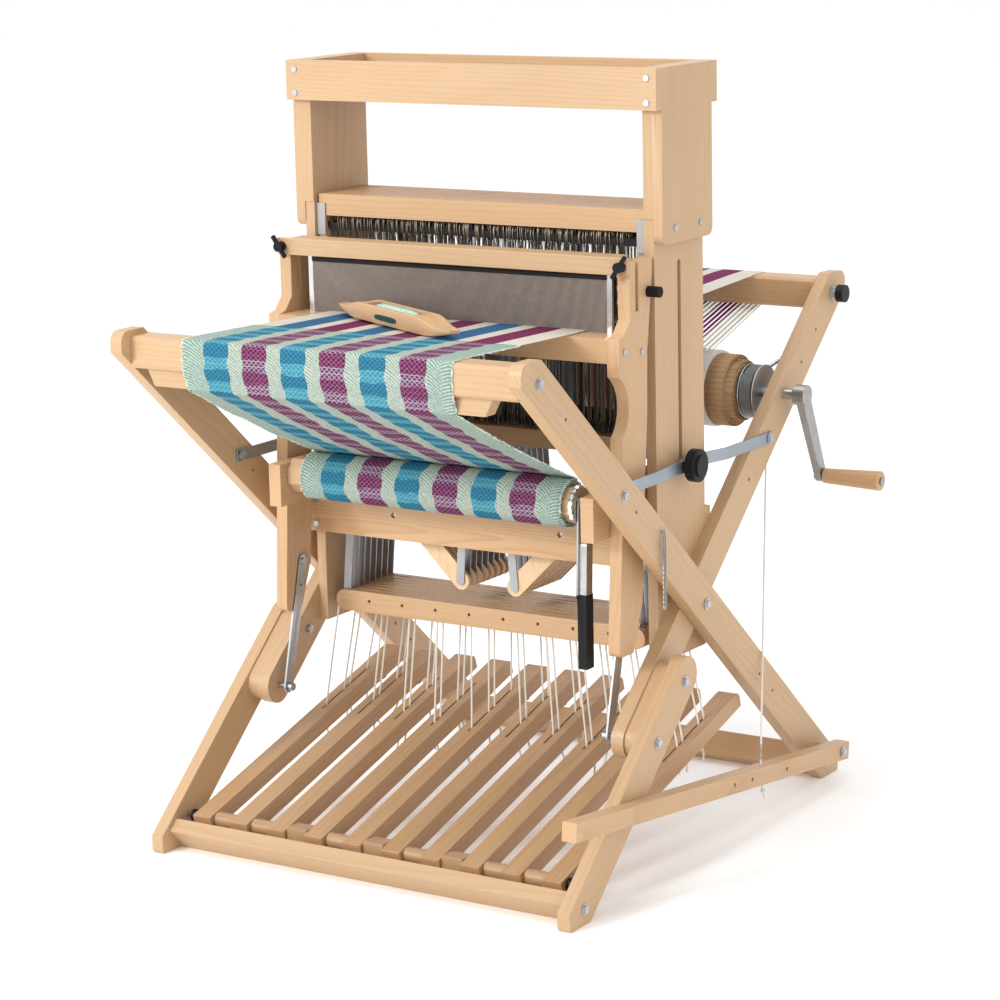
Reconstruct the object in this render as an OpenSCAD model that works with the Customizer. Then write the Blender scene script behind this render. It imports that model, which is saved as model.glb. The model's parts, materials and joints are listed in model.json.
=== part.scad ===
/* [Overall] */
// Angle of the crossed legs above the floor, degrees
leg_angle = 41.3; // [40:0.1:43]
// Height of the crossing pivot above the floor
pivot_z = 349; // [340:1:360]
// Height of the top of the legs
leg_top_z = 756; // [745:1:770]
// Distance of the leg ends from the pivot, front and rear
leg_end_y = 471; // [462:1:485]
// Distance of the heel of each foot from the pivot
foot_end_y = 409; // [404:1:420]

/* [Legs] */
// Thickness of each leg board
leg_t = 19; // [16:0.5:21]
// Width of each leg board
leg_w = 54; // [48:1:60]
// Radius of the rounded upper corners of the legs
leg_corner_r = 16; // [6:1:22]
// Distance from pivot to the upper lap bolt
lap_upper_d = 129.6; // [115:1:140]
// Distance from pivot to the lower lap bolt, which also carries the beater
lap_lower_d = 231.4; // [220:1:245]
// Distance from pivot to the lock strap bolts
lock_d = 295; // [290:1:300]
// Angle through which each leg frame folds
fold_angle = 28.5; // [20:0.5:28.5]
// Thickness of the foot beams along the leg
foot_beam_t = 22; // [18:1:26]
// Width of the foot beams across the leg
foot_beam_w = 40; // [34:1:44]

/* [Castle] */
// Outer distance between the side panels
castle_w = 574.8; // [560:0.2:590]
// Thickness of a side panel
panel_t = 15.2; // [12:0.2:19]
// Depth of a side panel
panel_d = 135; // [130:1:140]
// Height of the bottom edge of the side panels
panel_z0 = 272; // [265:1:280]
// Height at which the upper boards start
upper_z0 = 890; // [880:1:900]
// Length of the outer lap of an upper board
lap_len = 35; // [28:1:45]
// Depth of an upper board
upper_d = 138; // [136:1:140]
// Height of the top of the tray
tray_top_z = 1092; // [1060:1:1120]
// Height of the tray rails
tray_rail_h = 56; // [45:1:70]
// Thickness of the tray rails and apron boards
rail_t = 15.2; // [12:0.2:18]
// Height of the lower edge of the apron boards
apron_z0 = 409; // [400:1:412]
// Height of the apron boards
apron_h = 61; // [55:1:62]
// Width of the lock slot in a side panel
slot_w = 9; // [8.2:0.1:12]

/* [Beater] */
// Thickness of a beater sword
sword_t = 18.6; // [16:0.2:19]
// Height of the shuttle race top
race_top_z = 740; // [730:1:741]
// Height of the shuttle race
race_h = 33; // [25:1:38]
// Height of the reed
reed_h = 94; // [88:1:98]
// Thickness of the reed frame
reed_t = 5; // [4:0.5:7]
// Length of the reed
reed_w = 500; // [470:2:520]
// Height of the beater cap
cap_h = 24; // [18:1:26]

/* [Beams] */
// Width across the breast and back beams
beam_w = 44; // [38:1:46]
// Chamfer on the beam edges
beam_chamfer = 4; // [2:0.5:8]
// Size of the knee bar
knee_bar_w = 24; // [18:1:28]
// Distance across the flats of the cloth beam
cloth_beam_w = 48; // [40:1:52]
// Radius of the woven cloth on its beam
cloth_roll_r = 34; // [30:0.5:36]
// Height of the cloth beam axis
cloth_beam_z = 512; // [508:1:516]
// Distance of the cloth beam axis in front of the pivot
cloth_beam_y = 165; // [160:1:170]
// Distance of the warp beam axis behind the pivot
warp_beam_y = 272; // [270:1:276]
// Height of the warp beam axis
warp_beam_z = 600; // [596:1:606]
// Radius of the warp and its packing on the warp beam
warp_roll_r = 56.5; // [45:0.5:57]
// Length of the packing on the warp beam
warp_roll_w = 490; // [450:2:500]
// Radius of the bare warp beam
warp_core_r = 20; // [16:0.5:25]
// Width of the warp and the cloth
web_w = 437; // [380:1:440]
// Shift of the web off the centre line
web_shift = -11.5; // [-15:0.5:-8]
// Thickness of the cloth
web_t = 1.2; // [0.8:0.1:2]
// Height of the heddle eyes
eye_z = 740; // [736:1:744]

/* [Shafts and jacks] */
// Number of shafts, lamms and pairs of jacks
shaft_count = 8; // [2:2:8]
// Distance between neighbouring shafts
shaft_pitch = 15.5; // [15:0.1:15.6]
// Thickness of a shaft or lamm
shaft_t = 11.5; // [9:0.5:12]
// Height of the lower edge of the shafts
shaft_z0 = 560; // [558:1:566]
// Height of the upper edge of the shafts
shaft_z1 = 901; // [890:1:905]
// Height of the top rail of a shaft
shaft_top_h = 31; // [25:1:33]
// Height of the bottom rail of a shaft
shaft_low_h = 25; // [22:1:28]
// Height of a lamm
lamm_h = 31; // [28:1:34]
// Height of the lower edge of the lamms
lamm_z0 = 288; // [284:1:292]
// Distance of a lamm pin from the centre line
lamm_pin_x = 246; // [240:1:248]
// Distance of the jack axles from the centre line
jack_x = 140; // [134:1:146]
// Height of the jack axles
jack_z = 445; // [440:1:450]
// Length of the inner arm of a jack
jack_in = 132; // [126:1:133]
// Angle of the inner arm below level
jack_in_angle = 44.4; // [43:0.1:46]
// Length of the outer arm of a jack
jack_out = 115; // [108:1:116]
// Angle of the outer arm above level
jack_out_angle = 40.8; // [39:0.1:42]
// Swing of a jack, degrees
jack_swing = 26; // [18:1:27]
// Thickness of a jack
jack_t = 6; // [4:0.5:7]
// Width of a jack
jack_w = 27; // [22:1:28]

/* [Treadles] */
// Number of treadles
treadle_count = 10; // [10:1:10]
// Distance between neighbouring treadles
treadle_pitch = 64.5; // [58:0.5:64.5]
// Width of a treadle
treadle_w = 30; // [24:1:34]
// Thickness of a treadle
treadle_t = 24; // [18:1:26]
// Length of a treadle behind its rod
treadle_l = 499; // [440:1:510]
// Length of a treadle in front of its rod
treadle_nose = 17; // [14:1:18]
// Slope of a treadle at rest, degrees
treadle_angle = 15.7; // [14:0.1:17]
// Distance of the treadle rod in front of the pivot
treadle_rod_y = 345; // [342:1:346]
// Height of the treadle rod
treadle_rod_z = 42; // [40:1:46]
// Radius of the treadle rod
treadle_rod_r = 5; // [4:0.5:7]

/* [Brake] */
// Distance of the pedal pivot behind the crossing pivot
pedal_pivot_y = 340; // [335:1:345]
// Height of the pedal pivot
pedal_pivot_z = 52; // [48:1:58]
// Length of the brake pedal in front of its pivot
pedal_l = 771; // [700:1:780]
// Slope of the brake pedal at rest, degrees
pedal_angle = 6.9; // [6:0.1:9]
// Height of the brake pedal
pedal_h = 26; // [22:1:30]
// Width of the brake pedal
pedal_w = 22; // [18:1:26]
// Radius of the brake drum
drum_r = 37; // [32:1:40]
// Width of the brake drum
drum_w = 25; // [18:1:26]
// Length of the crank arm between axes
crank_l = 141; // [120:1:150]
// Length of the crank handle
crank_handle_l = 91; // [80:1:100]

/* [Hardware] */
// Radius of the frame bolts
bolt_r = 4; // [3:0.5:4]
// Radius of a bolt head
bolt_head_r = 8; // [7:0.5:9]
// Height of a bolt head
bolt_head_h = 3; // [2:0.5:4]
// Radius of the small screws
screw_r = 2.5; // [2:0.5:3]
// Radius of a screw head
screw_head_r = 4.5; // [4:0.5:6]
// Radius of the lock knobs
lock_knob_r = 23; // [18:1:26]
// Height of a lock strap
lock_strap_h = 17; // [14:1:20]
// Thickness of a lock strap
lock_strap_t = 2.5; // [2:0.5:3]
// Radius of the pins in jacks and lamms
pin_r = 2; // [1.5:0.5:2.5]
// Width of a jack strap
jack_strap_w = 13; // [10:0.5:14]
// Thickness of a jack strap
jack_strap_t = 2; // [1.5:0.5:2]
// Radius of a tie-up cord
cord_r = 0.9; // [0.8:0.1:1.2]

/* [Clearances] */
// Radial running clearance of pins and shafts
run_gap = 0.05; // [0.01:0.01:0.1]
// Gap between neighbouring moving faces
side_gap = 0.7; // [0.4:0.1:0.9]
// Gap between the shafts and the side panels
shaft_side_gap = 3.2; // [2.6:0.2:6]
// Gap between a soft piece and what it rests on
soft_gap = 0.3; // [0.2:0.1:0.4]
// Radial play at the jack end of each strap
link_play = 3.6; // [3.4:0.1:4.2]

/* [Hidden] */
$fn = 48;
hair = 0.01;

maple = "#e3bf92";
maple_light = "#eacfa6";
maple_dark = "#c49a6c";
zinc = "#b4bac0";
black = "#1c1c1e";

// Layers of boards from the castle outwards
panel_x1 = castle_w / 2;
panel_x0 = panel_x1 - panel_t;
leg_b_x0 = panel_x1;
leg_b_x1 = leg_b_x0 + leg_t;
leg_a_x0 = leg_b_x1 + side_gap;
leg_a_x1 = leg_a_x0 + leg_t;
leg_c_x0 = leg_a_x1;
leg_c_x1 = leg_c_x0 + leg_t;
upper_x1 = panel_x1 + panel_t - 0.4;
panel_y = panel_d / 2;

// Points on the two leg lines, d from the pivot
function front_up(d) = [-d * cos(leg_angle), pivot_z + d * sin(leg_angle)];
function rear_up(d) = [d * cos(leg_angle), pivot_z + d * sin(leg_angle)];
foot_d = (pivot_z - foot_beam_w / 2 * cos(leg_angle) - foot_beam_t / 2 * sin(leg_angle)) / sin(leg_angle);
beam_d = (leg_end_y - beam_w / 2 - 20) / cos(leg_angle);
lock_z = front_up(lock_d)[1];
lap_low = rear_up(-lap_lower_d);
lap_high = rear_up(-lap_upper_d);

// Height of the lock knob when the legs are folded
lock_half = lock_d * cos(leg_angle);
lock_fold = 90 - leg_angle - fold_angle;
lock_top_z = pivot_z + lock_d * cos(lock_fold) + sqrt(pow(lock_half, 2) - pow(lock_d * sin(lock_fold), 2));

// Where the pins of the shedding motion stand at rest
lift_x = jack_x - jack_in * cos(jack_in_angle);
lift_z = jack_z - jack_in * sin(jack_in_angle);
pull_x = jack_x + jack_out * cos(jack_out_angle);
pull_z = jack_z + jack_out * sin(jack_out_angle);
lift_mean_x = jack_x - jack_in * (cos(jack_in_angle) + cos(jack_in_angle - jack_swing)) / 2;
shaft_pin_z = shaft_z0 + shaft_low_h / 2;
lamm_pin_z = lamm_z0 + lamm_h / 2;
shaft_w = 2 * (panel_x0 - shaft_side_gap);
shed_y = (shaft_count - 1) * shaft_pitch / 2;
odd_shafts = [for (i = [0:2:shaft_count - 1]) i * shaft_pitch - shed_y];
even_shafts = [for (i = [1:2:shaft_count - 1]) i * shaft_pitch - shed_y];

// Web places
web_x0 = web_shift - web_w / 2;
web_x1 = web_shift + web_w / 2;
beam_y = beam_d * cos(leg_angle);
beam_z = front_up(beam_d)[1];
web_gap = soft_gap + web_t / 2;
web_top_z = beam_z + beam_w / 2 + web_gap;
web_face_y = beam_y + beam_w / 2 + web_gap;
web_low_z = beam_z - beam_w / 2;

// Beater places
sword_x1 = panel_x1;
sword_x0 = sword_x1 - sword_t;
reed_y = -115;
reed_z0 = race_top_z - 8;
reed_z1 = reed_z0 + reed_h;
cap_z0 = reed_z1 - 4;
cap_z1 = cap_z0 + cap_h;
race_z0 = race_top_z - race_h;
race_front = 50;
beater_strap_t = 3;
beater_strap_x0 = sword_x0;
beater_strap_x1 = beater_strap_x0 + beater_strap_t;

// Cloth beam places
bracket_x1 = sword_x0 - side_gap;
bracket_w = 20;
bracket_x0 = bracket_x1 - bracket_w;
axle_r = 6;
warp_axle_r = 8;
ratchet_x0 = 219;
ratchet_w = 6;

drum_x0 = leg_b_x0 - 12 - drum_w;

// Brake pedal places
pedal_x0 = leg_c_x1 + side_gap;
brake_cord_d = 243;
brake_cord_low = [pedal_pivot_y, pedal_pivot_z] + brake_cord_d * [-cos(pedal_angle), sin(pedal_angle)]
    + pedal_h / 2 * [sin(pedal_angle), cos(pedal_angle)];

// Hardware places
nut_r = bolt_head_r * 0.75;
lock_head_t = shaft_side_gap - side_gap;
strap_in_x = leg_b_x1 - 10;
strap_out_x = strap_in_x + lock_strap_t + side_gap;
strap_play = 0.3;
front_strap_x = leg_a_x0 - lock_strap_t - side_gap;
strap_top = [-130, 374];
race_screw = [-150, race_top_z - 18];
sword_screw = [-104, race_top_z - 24];
treadle_cos = cos(treadle_angle);
function treadle_x(i) = (i - (treadle_count + 1) / 2) * treadle_pitch;

// Extrudes a drawing of y and z from x0 to x1
module side_plate(x0, x1) {
    translate([x0, 0, 0]) rotate([90, 0, 90]) linear_extrude(x1 - x0) children();
}

// Extrudes a drawing of x and z backwards from y0 to y1
module front_plate(y0, y1) {
    translate([0, y1, 0]) rotate([90, 0, 0]) linear_extrude(y1 - y0) children();
}

module both_sides() {
    children();
    mirror([1, 0, 0]) children();
}

module x_rod(x0, x1, at, r) {
    translate([x0, at[0], at[1]]) rotate([0, 90, 0]) cylinder(h = x1 - x0, r = r);
}

module y_rod(y0, y1, x, z, r) {
    translate([x, y0, z]) rotate([-90, 0, 0]) cylinder(h = y1 - y0, r = r);
}

module rod_between(p, q, r) {
    v = q - p;
    n = norm(v);
    translate(p) rotate([0, acos(v[2] / n), atan2(v[1], v[0])]) cylinder(h = n, r = r, $fn = 16);
}

// What is cut off a square corner at the origin to round it towards +x and +y
module corner_cut(r) {
    difference() {
        translate([-1, -1]) square(r + 1);
        translate([r, r]) circle(r);
    }
}

// A straight bar with round ends between two points
module capsule(p, q, w) {
    v = q - p;
    translate(p) rotate(atan2(v[1], v[0])) {
        translate([0, -w / 2]) square([norm(v), w]);
        circle(w / 2);
        translate([norm(v), 0]) circle(w / 2);
    }
}

// A hex nut or bolt head on a washer, standing on the plane x and facing out
module bolt_head(x, at) {
    x_rod(x, x + 1.2, at, bolt_head_r);
    translate([x + 1.2, at[0], at[1]]) rotate([0, 90, 0]) cylinder(h = bolt_head_h, r = nut_r, $fn = 6);
}

module screw(x, at) {
    x_rod(x, x + 1.6, at, screw_head_r);
    x_rod(x - 15, x + 0.5, at, screw_r);
}

// Outline of a leg that rises to the front, cut off level and upright at its ends
module leg_outline(heel_y, top_y) {
    difference() {
        intersection() {
            translate([0, pivot_z]) rotate(-leg_angle) translate([-800, -leg_w / 2]) square([1600, leg_w]);
            translate([-top_y, 0]) square([top_y + heel_y, leg_top_z]);
        }
        translate([-top_y, leg_top_z]) scale([1, -1]) corner_cut(leg_corner_r);
        translate([heel_y, 0]) scale([-1, 1]) corner_cut(6);
    }
}

module spot_hole(at, r) translate(at) circle(r);

// Bolts along the front leg frame: distance from the pivot
front_bolt_d = [beam_d, lock_d, -foot_d];
front_spare_d = [487, 253.5, -208.6, -261.3];
rear_spare_d = [437, 218.5, 500];
stop_pin = front_up(172) + [4, 14];

module rear_foot_legs() {
    color(maple) both_sides() side_plate(leg_a_x0, leg_a_x1) difference() {
        leg_outline(foot_end_y, leg_end_y);
        spot_hole([0, pivot_z], bolt_r + run_gap);
        spot_hole([pedal_pivot_y, pedal_pivot_z], bolt_r);
        spot_hole(stop_pin, screw_r);
        for (d = front_bolt_d) spot_hole(front_up(d), bolt_r);
        for (d = front_spare_d) spot_hole(front_up(d), screw_r);
    }
}

module foot_beam_profile() {
    translate([0, pivot_z]) rotate(-leg_angle) translate([foot_d - foot_beam_t / 2, -foot_beam_w / 2])
        square([foot_beam_t, foot_beam_w]);
}

module rear_foot_beam() {
    color(maple_dark) difference() {
        side_plate(-leg_a_x0, leg_a_x0) foot_beam_profile();
        both_sides() x_rod(leg_a_x0 - 30, leg_a_x0 + 1, front_up(-foot_d), bolt_r);
    }
}

module beam_profile() {
    w = beam_w / 2;
    c = beam_chamfer;
    polygon([[-w, c - w], [c - w, -w], [w - c, -w], [w, c - w],
        [w, w - c], [w - c, w], [c - w, w], [-w, w - c]]);
}

module cross_beam(half, at) {
    difference() {
        side_plate(-half, half) translate(at) beam_profile();
        both_sides() x_rod(half - 40, half + 1, at, bolt_r);
    }
}

module breast_beam() {
    color(maple_light) cross_beam(leg_a_x0, [-beam_y, beam_z]);
}

module knee_bar() {
    bar_z = web_low_z - knee_bar_w;
    color(maple_light) front_plate(-beam_y - knee_bar_w / 2, -beam_y + knee_bar_w / 2)
        polygon([[-289, web_low_z], [265, web_low_z], [253, bar_z], [-277, bar_z]]);
}

// Bolts, pivot of the pedal, lock bolts and the stop pin with its chain
module front_frame_bolts() {
    color(zinc) {
        both_sides() {
            x_rod(leg_a_x0 - 30, leg_a_x1, front_up(-foot_d), bolt_r);
            bolt_head(leg_a_x1, front_up(-foot_d));
            x_rod(leg_a_x0 - 40, leg_a_x1, front_up(beam_d), bolt_r);
            bolt_head(leg_a_x1, front_up(beam_d));
            x_rod(front_strap_x - 3, leg_a_x1, front_up(lock_d), bolt_r);
            bolt_head(leg_a_x1, front_up(lock_d));
            x_rod(front_strap_x - 6, front_strap_x - 1, front_up(lock_d), nut_r);
        }
        x_rod(leg_a_x0, pedal_x0 + pedal_w + 4, [pedal_pivot_y, pedal_pivot_z], bolt_r);
        bolt_head(pedal_x0 + pedal_w + 0.5, [pedal_pivot_y, pedal_pivot_z]);
        x_rod(leg_a_x1, leg_c_x1, [pedal_pivot_y, pedal_pivot_z], bolt_head_r);
        x_rod(leg_a_x0, leg_a_x1 + 8, stop_pin, screw_r);
        translate([leg_a_x1 + 5, stop_pin[0], stop_pin[1] - 110]) cylinder(h = 108.5, r = 1.5, $fn = 16);
    }
}

// Brake pedal, one long lever outside the right legs
module brake_pedal() {
    color(maple_light) difference() {
        side_plate(pedal_x0, pedal_x0 + pedal_w) difference() {
            translate([pedal_pivot_y, pedal_pivot_z]) rotate(-pedal_angle)
                translate([-pedal_l, -pedal_h / 2]) square([pedal_l + 22, pedal_h]);
            spot_hole([pedal_pivot_y, pedal_pivot_z], bolt_r + run_gap);
            for (d = [180, 287, 340]) translate([pedal_pivot_y, pedal_pivot_z]) rotate(-pedal_angle)
                translate([-d, 0]) circle(3);
        }
        translate([pedal_x0 + pedal_w / 2, pedal_pivot_y, pedal_pivot_z]) rotate([-pedal_angle, 0, 0])
            translate([0, -brake_cord_d, -pedal_h]) cylinder(h = 2 * pedal_h, r = 3);
    }
}

// Warp beam legs with their round lower lap ends
module back_beam_legs() {
    color(maple) both_sides() side_plate(leg_b_x0, leg_b_x1) difference() {
        union() {
            intersection() {
                scale([-1, 1]) leg_outline(foot_end_y, leg_end_y);
                translate(lap_low) rotate(leg_angle) translate([0, -100]) square([1200, 200]);
            }
            translate(lap_low) rotate(leg_angle) circle(leg_w / 2);
        }
        spot_hole([0, pivot_z], bolt_r + run_gap);
        spot_hole([warp_beam_y, warp_beam_z], warp_axle_r + run_gap);
        spot_hole(rear_up(beam_d), bolt_r);
        spot_hole(rear_up(lock_d), bolt_r);
        spot_hole(lap_low, bolt_r);
        spot_hole(lap_high, bolt_r);
        for (d = rear_spare_d) spot_hole(rear_up(d), screw_r);
    }
}

// Front feet outside the rear foot legs, each on its spacer block
module front_feet() {
    color(maple_light) both_sides() {
        difference() {
            side_plate(leg_c_x0, leg_c_x1) difference() {
                front_foot_outline();
                translate([-foot_end_y, 0]) corner_cut(6);
                spot_hole(rear_up(-foot_d), bolt_r);
                spot_hole(lap_low, bolt_r);
                spot_hole(lap_high, bolt_r);
            }
            x_rod(leg_c_x0 - 1, leg_c_x0 + 8, [-treadle_rod_y, treadle_rod_z], treadle_rod_r);
        }
        side_plate(leg_b_x1, leg_c_x0) difference() {
            capsule(lap_low, lap_high, leg_w - 6);
            spot_hole(lap_low, bolt_r);
            spot_hole(lap_high, bolt_r);
        }
    }
}

// A front foot: round at its upper end, cut off level and upright at the floor
module front_foot_outline() {
    intersection() {
        translate([0, pivot_z]) rotate(leg_angle) translate([10 - lap_upper_d, 0]) {
            translate([-800, -leg_w / 2]) square([800, leg_w]);
            circle(leg_w / 2);
        }
        translate([-foot_end_y, 0]) square([foot_end_y, leg_top_z]);
    }
}

module front_foot_beam() {
    color(maple_light) difference() {
        mirror([0, 1, 0]) side_plate(-leg_c_x0, leg_c_x0) foot_beam_profile();
        both_sides() x_rod(leg_c_x0 - 30, leg_c_x0 + 1, rear_up(-foot_d), bolt_r);
    }
}

module back_beam() {
    color(maple) cross_beam(leg_b_x0, [beam_y, beam_z]);
}

// Bolts and knobs of the back beam frame, with the brake cable and its turnbuckle
module rear_frame_bolts() {
    beam_at = rear_up(beam_d);
    anchor = rear_up(453);
    cable_x = drum_x0 + drum_w / 2;
    cable_low = anchor + [-30, -18];
    cable_end = touch([warp_beam_y, warp_beam_z], drum_r - 4 + 1 + soft_gap, cable_low);
    color(zinc) {
        both_sides() {
            x_rod(leg_c_x0 - 30, leg_c_x1, rear_up(-foot_d), bolt_r);
            bolt_head(leg_c_x1, rear_up(-foot_d));
            x_rod(sword_x0 - 8, leg_c_x1, lap_low, bolt_r);
            bolt_head(leg_c_x1, lap_low);
            x_rod(sword_x0 - 7.5, sword_x0 - side_gap, lap_low, nut_r);
            x_rod(leg_b_x0 - 6, leg_c_x1, lap_high, bolt_r);
            x_rod(leg_b_x0 - 5, leg_b_x0, lap_high, nut_r);
            bolt_head(leg_c_x1, lap_high);
            x_rod(leg_b_x0 - 40, leg_b_x1 + 4, beam_at, bolt_r);
            x_rod(leg_b_x1, leg_b_x1 + 1.5, beam_at, bolt_head_r + 2);
            x_rod(leg_b_x1 + 1.5, leg_b_x1 + 10, beam_at, 8);
            x_rod(leg_b_x1 + 10, leg_b_x1 + 22, beam_at, 13);
            x_rod(leg_b_x0, leg_b_x1 + lock_strap_t + side_gap + 1, rear_up(lock_d), bolt_r);
            bolt_head(leg_b_x1 + lock_strap_t + side_gap + 0.5, rear_up(lock_d));
        }
        x_rod(leg_b_x0 - 9, leg_b_x0, anchor, 5);
        rod_between([leg_b_x0 - 6, anchor[0], anchor[1]], [cable_x, cable_low[0], cable_low[1]], 3);
        rod_between([cable_x, cable_low[0], cable_low[1]], [cable_x, cable_end[0], cable_end[1]], 1);
    }
}

// Rod on which the treadles turn, with sleeves and blocks between them
module treadle_rod() {
    at = [-treadle_rod_y, treadle_rod_z];
    color(zinc) x_rod(-leg_c_x0 - 7, leg_c_x0 + 7, at, treadle_rod_r);
    gap = treadle_pitch - treadle_w - 2 * side_gap;
    color(maple_dark) for (i = [1:treadle_count - 1]) {
        x = treadle_x(i) + treadle_w / 2 + side_gap;
        difference() {
            if (i == 3 || i == 5 || i == 7)
                side_plate(x, x + gap) translate(at) square([26, 24], center = true);
            else x_rod(x, x + gap, at, 11);
            x_rod(x - 1, x + gap + 1, at, treadle_rod_r);
        }
    }
    end_x = treadle_x(treadle_count) + treadle_w / 2 + side_gap;
    color(black) both_sides() difference() {
        x_rod(end_x, end_x + 12, at, 9);
        x_rod(end_x - 1, end_x + 13, at, treadle_rod_r);
    }
}

module side_panels() {
    color(maple) both_sides() side_plate(panel_x0, panel_x1) difference() {
        translate([-panel_y, panel_z0]) square([panel_d, upper_z0 - panel_z0]);
        capsule([0, lock_z - 1], [0, lock_top_z + 1], slot_w);
        spot_hole([0, pivot_z], bolt_r);
        spot_hole([-35, upper_z0 - 14.5], screw_r);
        spot_hole([35, upper_z0 - 14.5], screw_r);
    }
}

module upper_side_boards() {
    color(maple) both_sides() {
        difference() {
            union() {
                side_plate(panel_x0, upper_x1) translate([-upper_d / 2, upper_z0])
                    square([upper_d, tray_top_z - upper_z0]);
                side_plate(panel_x1, upper_x1) difference() {
                    translate([-upper_d / 2, upper_z0 - lap_len]) square([upper_d, lap_len + 1]);
                    translate([-upper_d / 2, upper_z0 - lap_len]) corner_cut(12);
                    translate([upper_d / 2, upper_z0 - lap_len]) scale([-1, 1]) corner_cut(12);
                }
            }
            for (y = [-35, 35]) x_rod(panel_x0 - 1, upper_x1 + 1, [y, upper_z0 - 14.5], screw_r);
            for (s = [-1, 1], z = [tray_top_z - 13, tray_top_z - 46])
                y_rod(s * (upper_d / 2) - 24, s * (upper_d / 2) + 24, upper_x1 - 14.7, z, screw_r);
        }
    }
}

// Rails and floor of the tray on top of the castle
module top_tray() {
    rail_y = upper_d / 2;
    color(maple_light) {
        for (s = [-1, 1]) scale([1, s, 1]) difference() {
            front_plate(rail_y, rail_y + rail_t) translate([-upper_x1, tray_top_z - tray_rail_h])
                square([2 * upper_x1, tray_rail_h]);
            for (x = [-1, 1], z = [tray_top_z - 13, tray_top_z - 46])
                y_rod(rail_y - 1, rail_y + rail_t + 1, x * (upper_x1 - 14.7), z, screw_r);
        }
        translate([-panel_x0, -rail_y, tray_top_z - tray_rail_h + 4]) cube([2 * panel_x0, upper_d, 8]);
    }
}

module apron_boards() {
    color(maple_light) for (s = [-1, 1]) scale([1, s, 1]) difference() {
        front_plate(panel_y, panel_y + rail_t) difference() {
            translate([-panel_x1, apron_z0]) square([castle_w, apron_h]);
            for (x = [-276, 276], z = [apron_z0 + 11, apron_z0 + 47]) spot_hole([x, z], screw_r);
            for (x = [-jack_x, jack_x]) spot_hole([x, jack_z], bolt_r);
        }
        for (x = [-jack_x, jack_x]) translate([x, panel_y + rail_t, jack_z]) rotate([0, 45, 0])
            cube([7, 8, 7], center = true);
    }
}

module cloth_beam_brackets() {
    z0 = apron_z0 + apron_h;
    color(maple_light) both_sides() side_plate(bracket_x0, bracket_x1) difference() {
        translate([-cloth_beam_y - 40, z0]) square([cloth_beam_y + 40 - panel_y, 61]);
        spot_hole([-cloth_beam_y, cloth_beam_z], axle_r + run_gap);
    }
}

// Screws and bolts of the castle, the two jack axles and the crossing pivot bolts
module castle_fasteners() {
    at = [0, pivot_z];
    color(zinc) {
        both_sides() {
            x_rod(panel_x0, leg_a_x1 + 2, at, bolt_r);
            bolt_head(leg_a_x1 + 0.5, at);
            x_rod(panel_x0 - 3, panel_x0, at, bolt_head_r);
            for (y = [-35, 35]) screw(upper_x1, [y, upper_z0 - 14.5]);
            for (z = [apron_z0 + 11, apron_z0 + 47], s = [-1, 1]) scale([1, s, 1]) {
                y_rod(-panel_y - rail_t - 1.6, -panel_y - rail_t, 276, z, screw_head_r);
                y_rod(-panel_y - rail_t - 0.5, -panel_y, 276, z, screw_r);
            }
            for (z = [tray_top_z - 13, tray_top_z - 46], s = [-1, 1]) scale([1, s, 1]) {
                y_rod(-upper_d / 2 - rail_t - 1.6, -upper_d / 2 - rail_t, upper_x1 - 14.7, z, screw_head_r);
                y_rod(-upper_d / 2 - rail_t - 0.5, -upper_d / 2 + 20, upper_x1 - 14.7, z, screw_r);
            }
            y_rod(-panel_y - rail_t + 4, panel_y + rail_t - 4, jack_x, jack_z, bolt_r);
        }
    }
}

module cloth_beam() {
    flat = cloth_beam_w / 2 / cos(22.5);
    color(maple) translate([-bracket_x0 + side_gap, -cloth_beam_y, cloth_beam_z])
        rotate([0, 90, 0]) rotate(22.5) cylinder(h = bracket_x0 - side_gap + ratchet_x0, r = flat, $fn = 8);
    color(zinc) {
        x_rod(ratchet_x0, bracket_x1 - 1, [-cloth_beam_y, cloth_beam_z], axle_r);
        x_rod(1 - bracket_x1, side_gap - bracket_x0, [-cloth_beam_y, cloth_beam_z], axle_r);
        side_plate(ratchet_x0, ratchet_x0 + ratchet_w)
            translate([-cloth_beam_y, cloth_beam_z]) ratchet_outline();
    }
}

// Toothed wheel: one slanting tooth for each step round the rim
module ratchet_outline() {
    teeth = 18;
    r_out = 27;
    r_in = 23.5;
    step = 360 / teeth;
    polygon([for (i = [0:teeth - 1], k = [0, 1])
        (k == 0 ? r_out : r_in) * [cos(i * step + (k == 0 ? 0 : 2)), sin(i * step + (k == 0 ? 0 : 2))]]);
}

module cloth_roll() {
    flat = cloth_beam_w / 2 / cos(22.5);
    color("#7fb9b4") difference() {
        x_rod(web_x0, web_x1, [-cloth_beam_y, cloth_beam_z], cloth_roll_r);
        x_rod(web_x0 - 1, web_x1 + 1, [-cloth_beam_y, cloth_beam_z], flat + run_gap);
    }
}

// Lever that turns the cloth beam through its pawl, with a dark grip
module ratchet_lever() {
    at = [-cloth_beam_y, cloth_beam_z];
    x0 = ratchet_x0 + ratchet_w + side_gap;
    low = at + [-6, -122];
    grip = at + [-8, -226];
    color(zinc) difference() {
        union() {
            side_plate(x0, x0 + 3) capsule(at, low, 24);
            side_plate(x0 + 2, x0 + 14) capsule(at + [-3, -56], low + [0, -6], 16);
        }
        x_rod(x0 - 1, x0 + 4, at, axle_r + run_gap);
    }
    color(black) side_plate(x0, x0 + 14) translate([low[0] - 9, grip[1]]) square([19, low[1] - grip[1]]);
}

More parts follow.
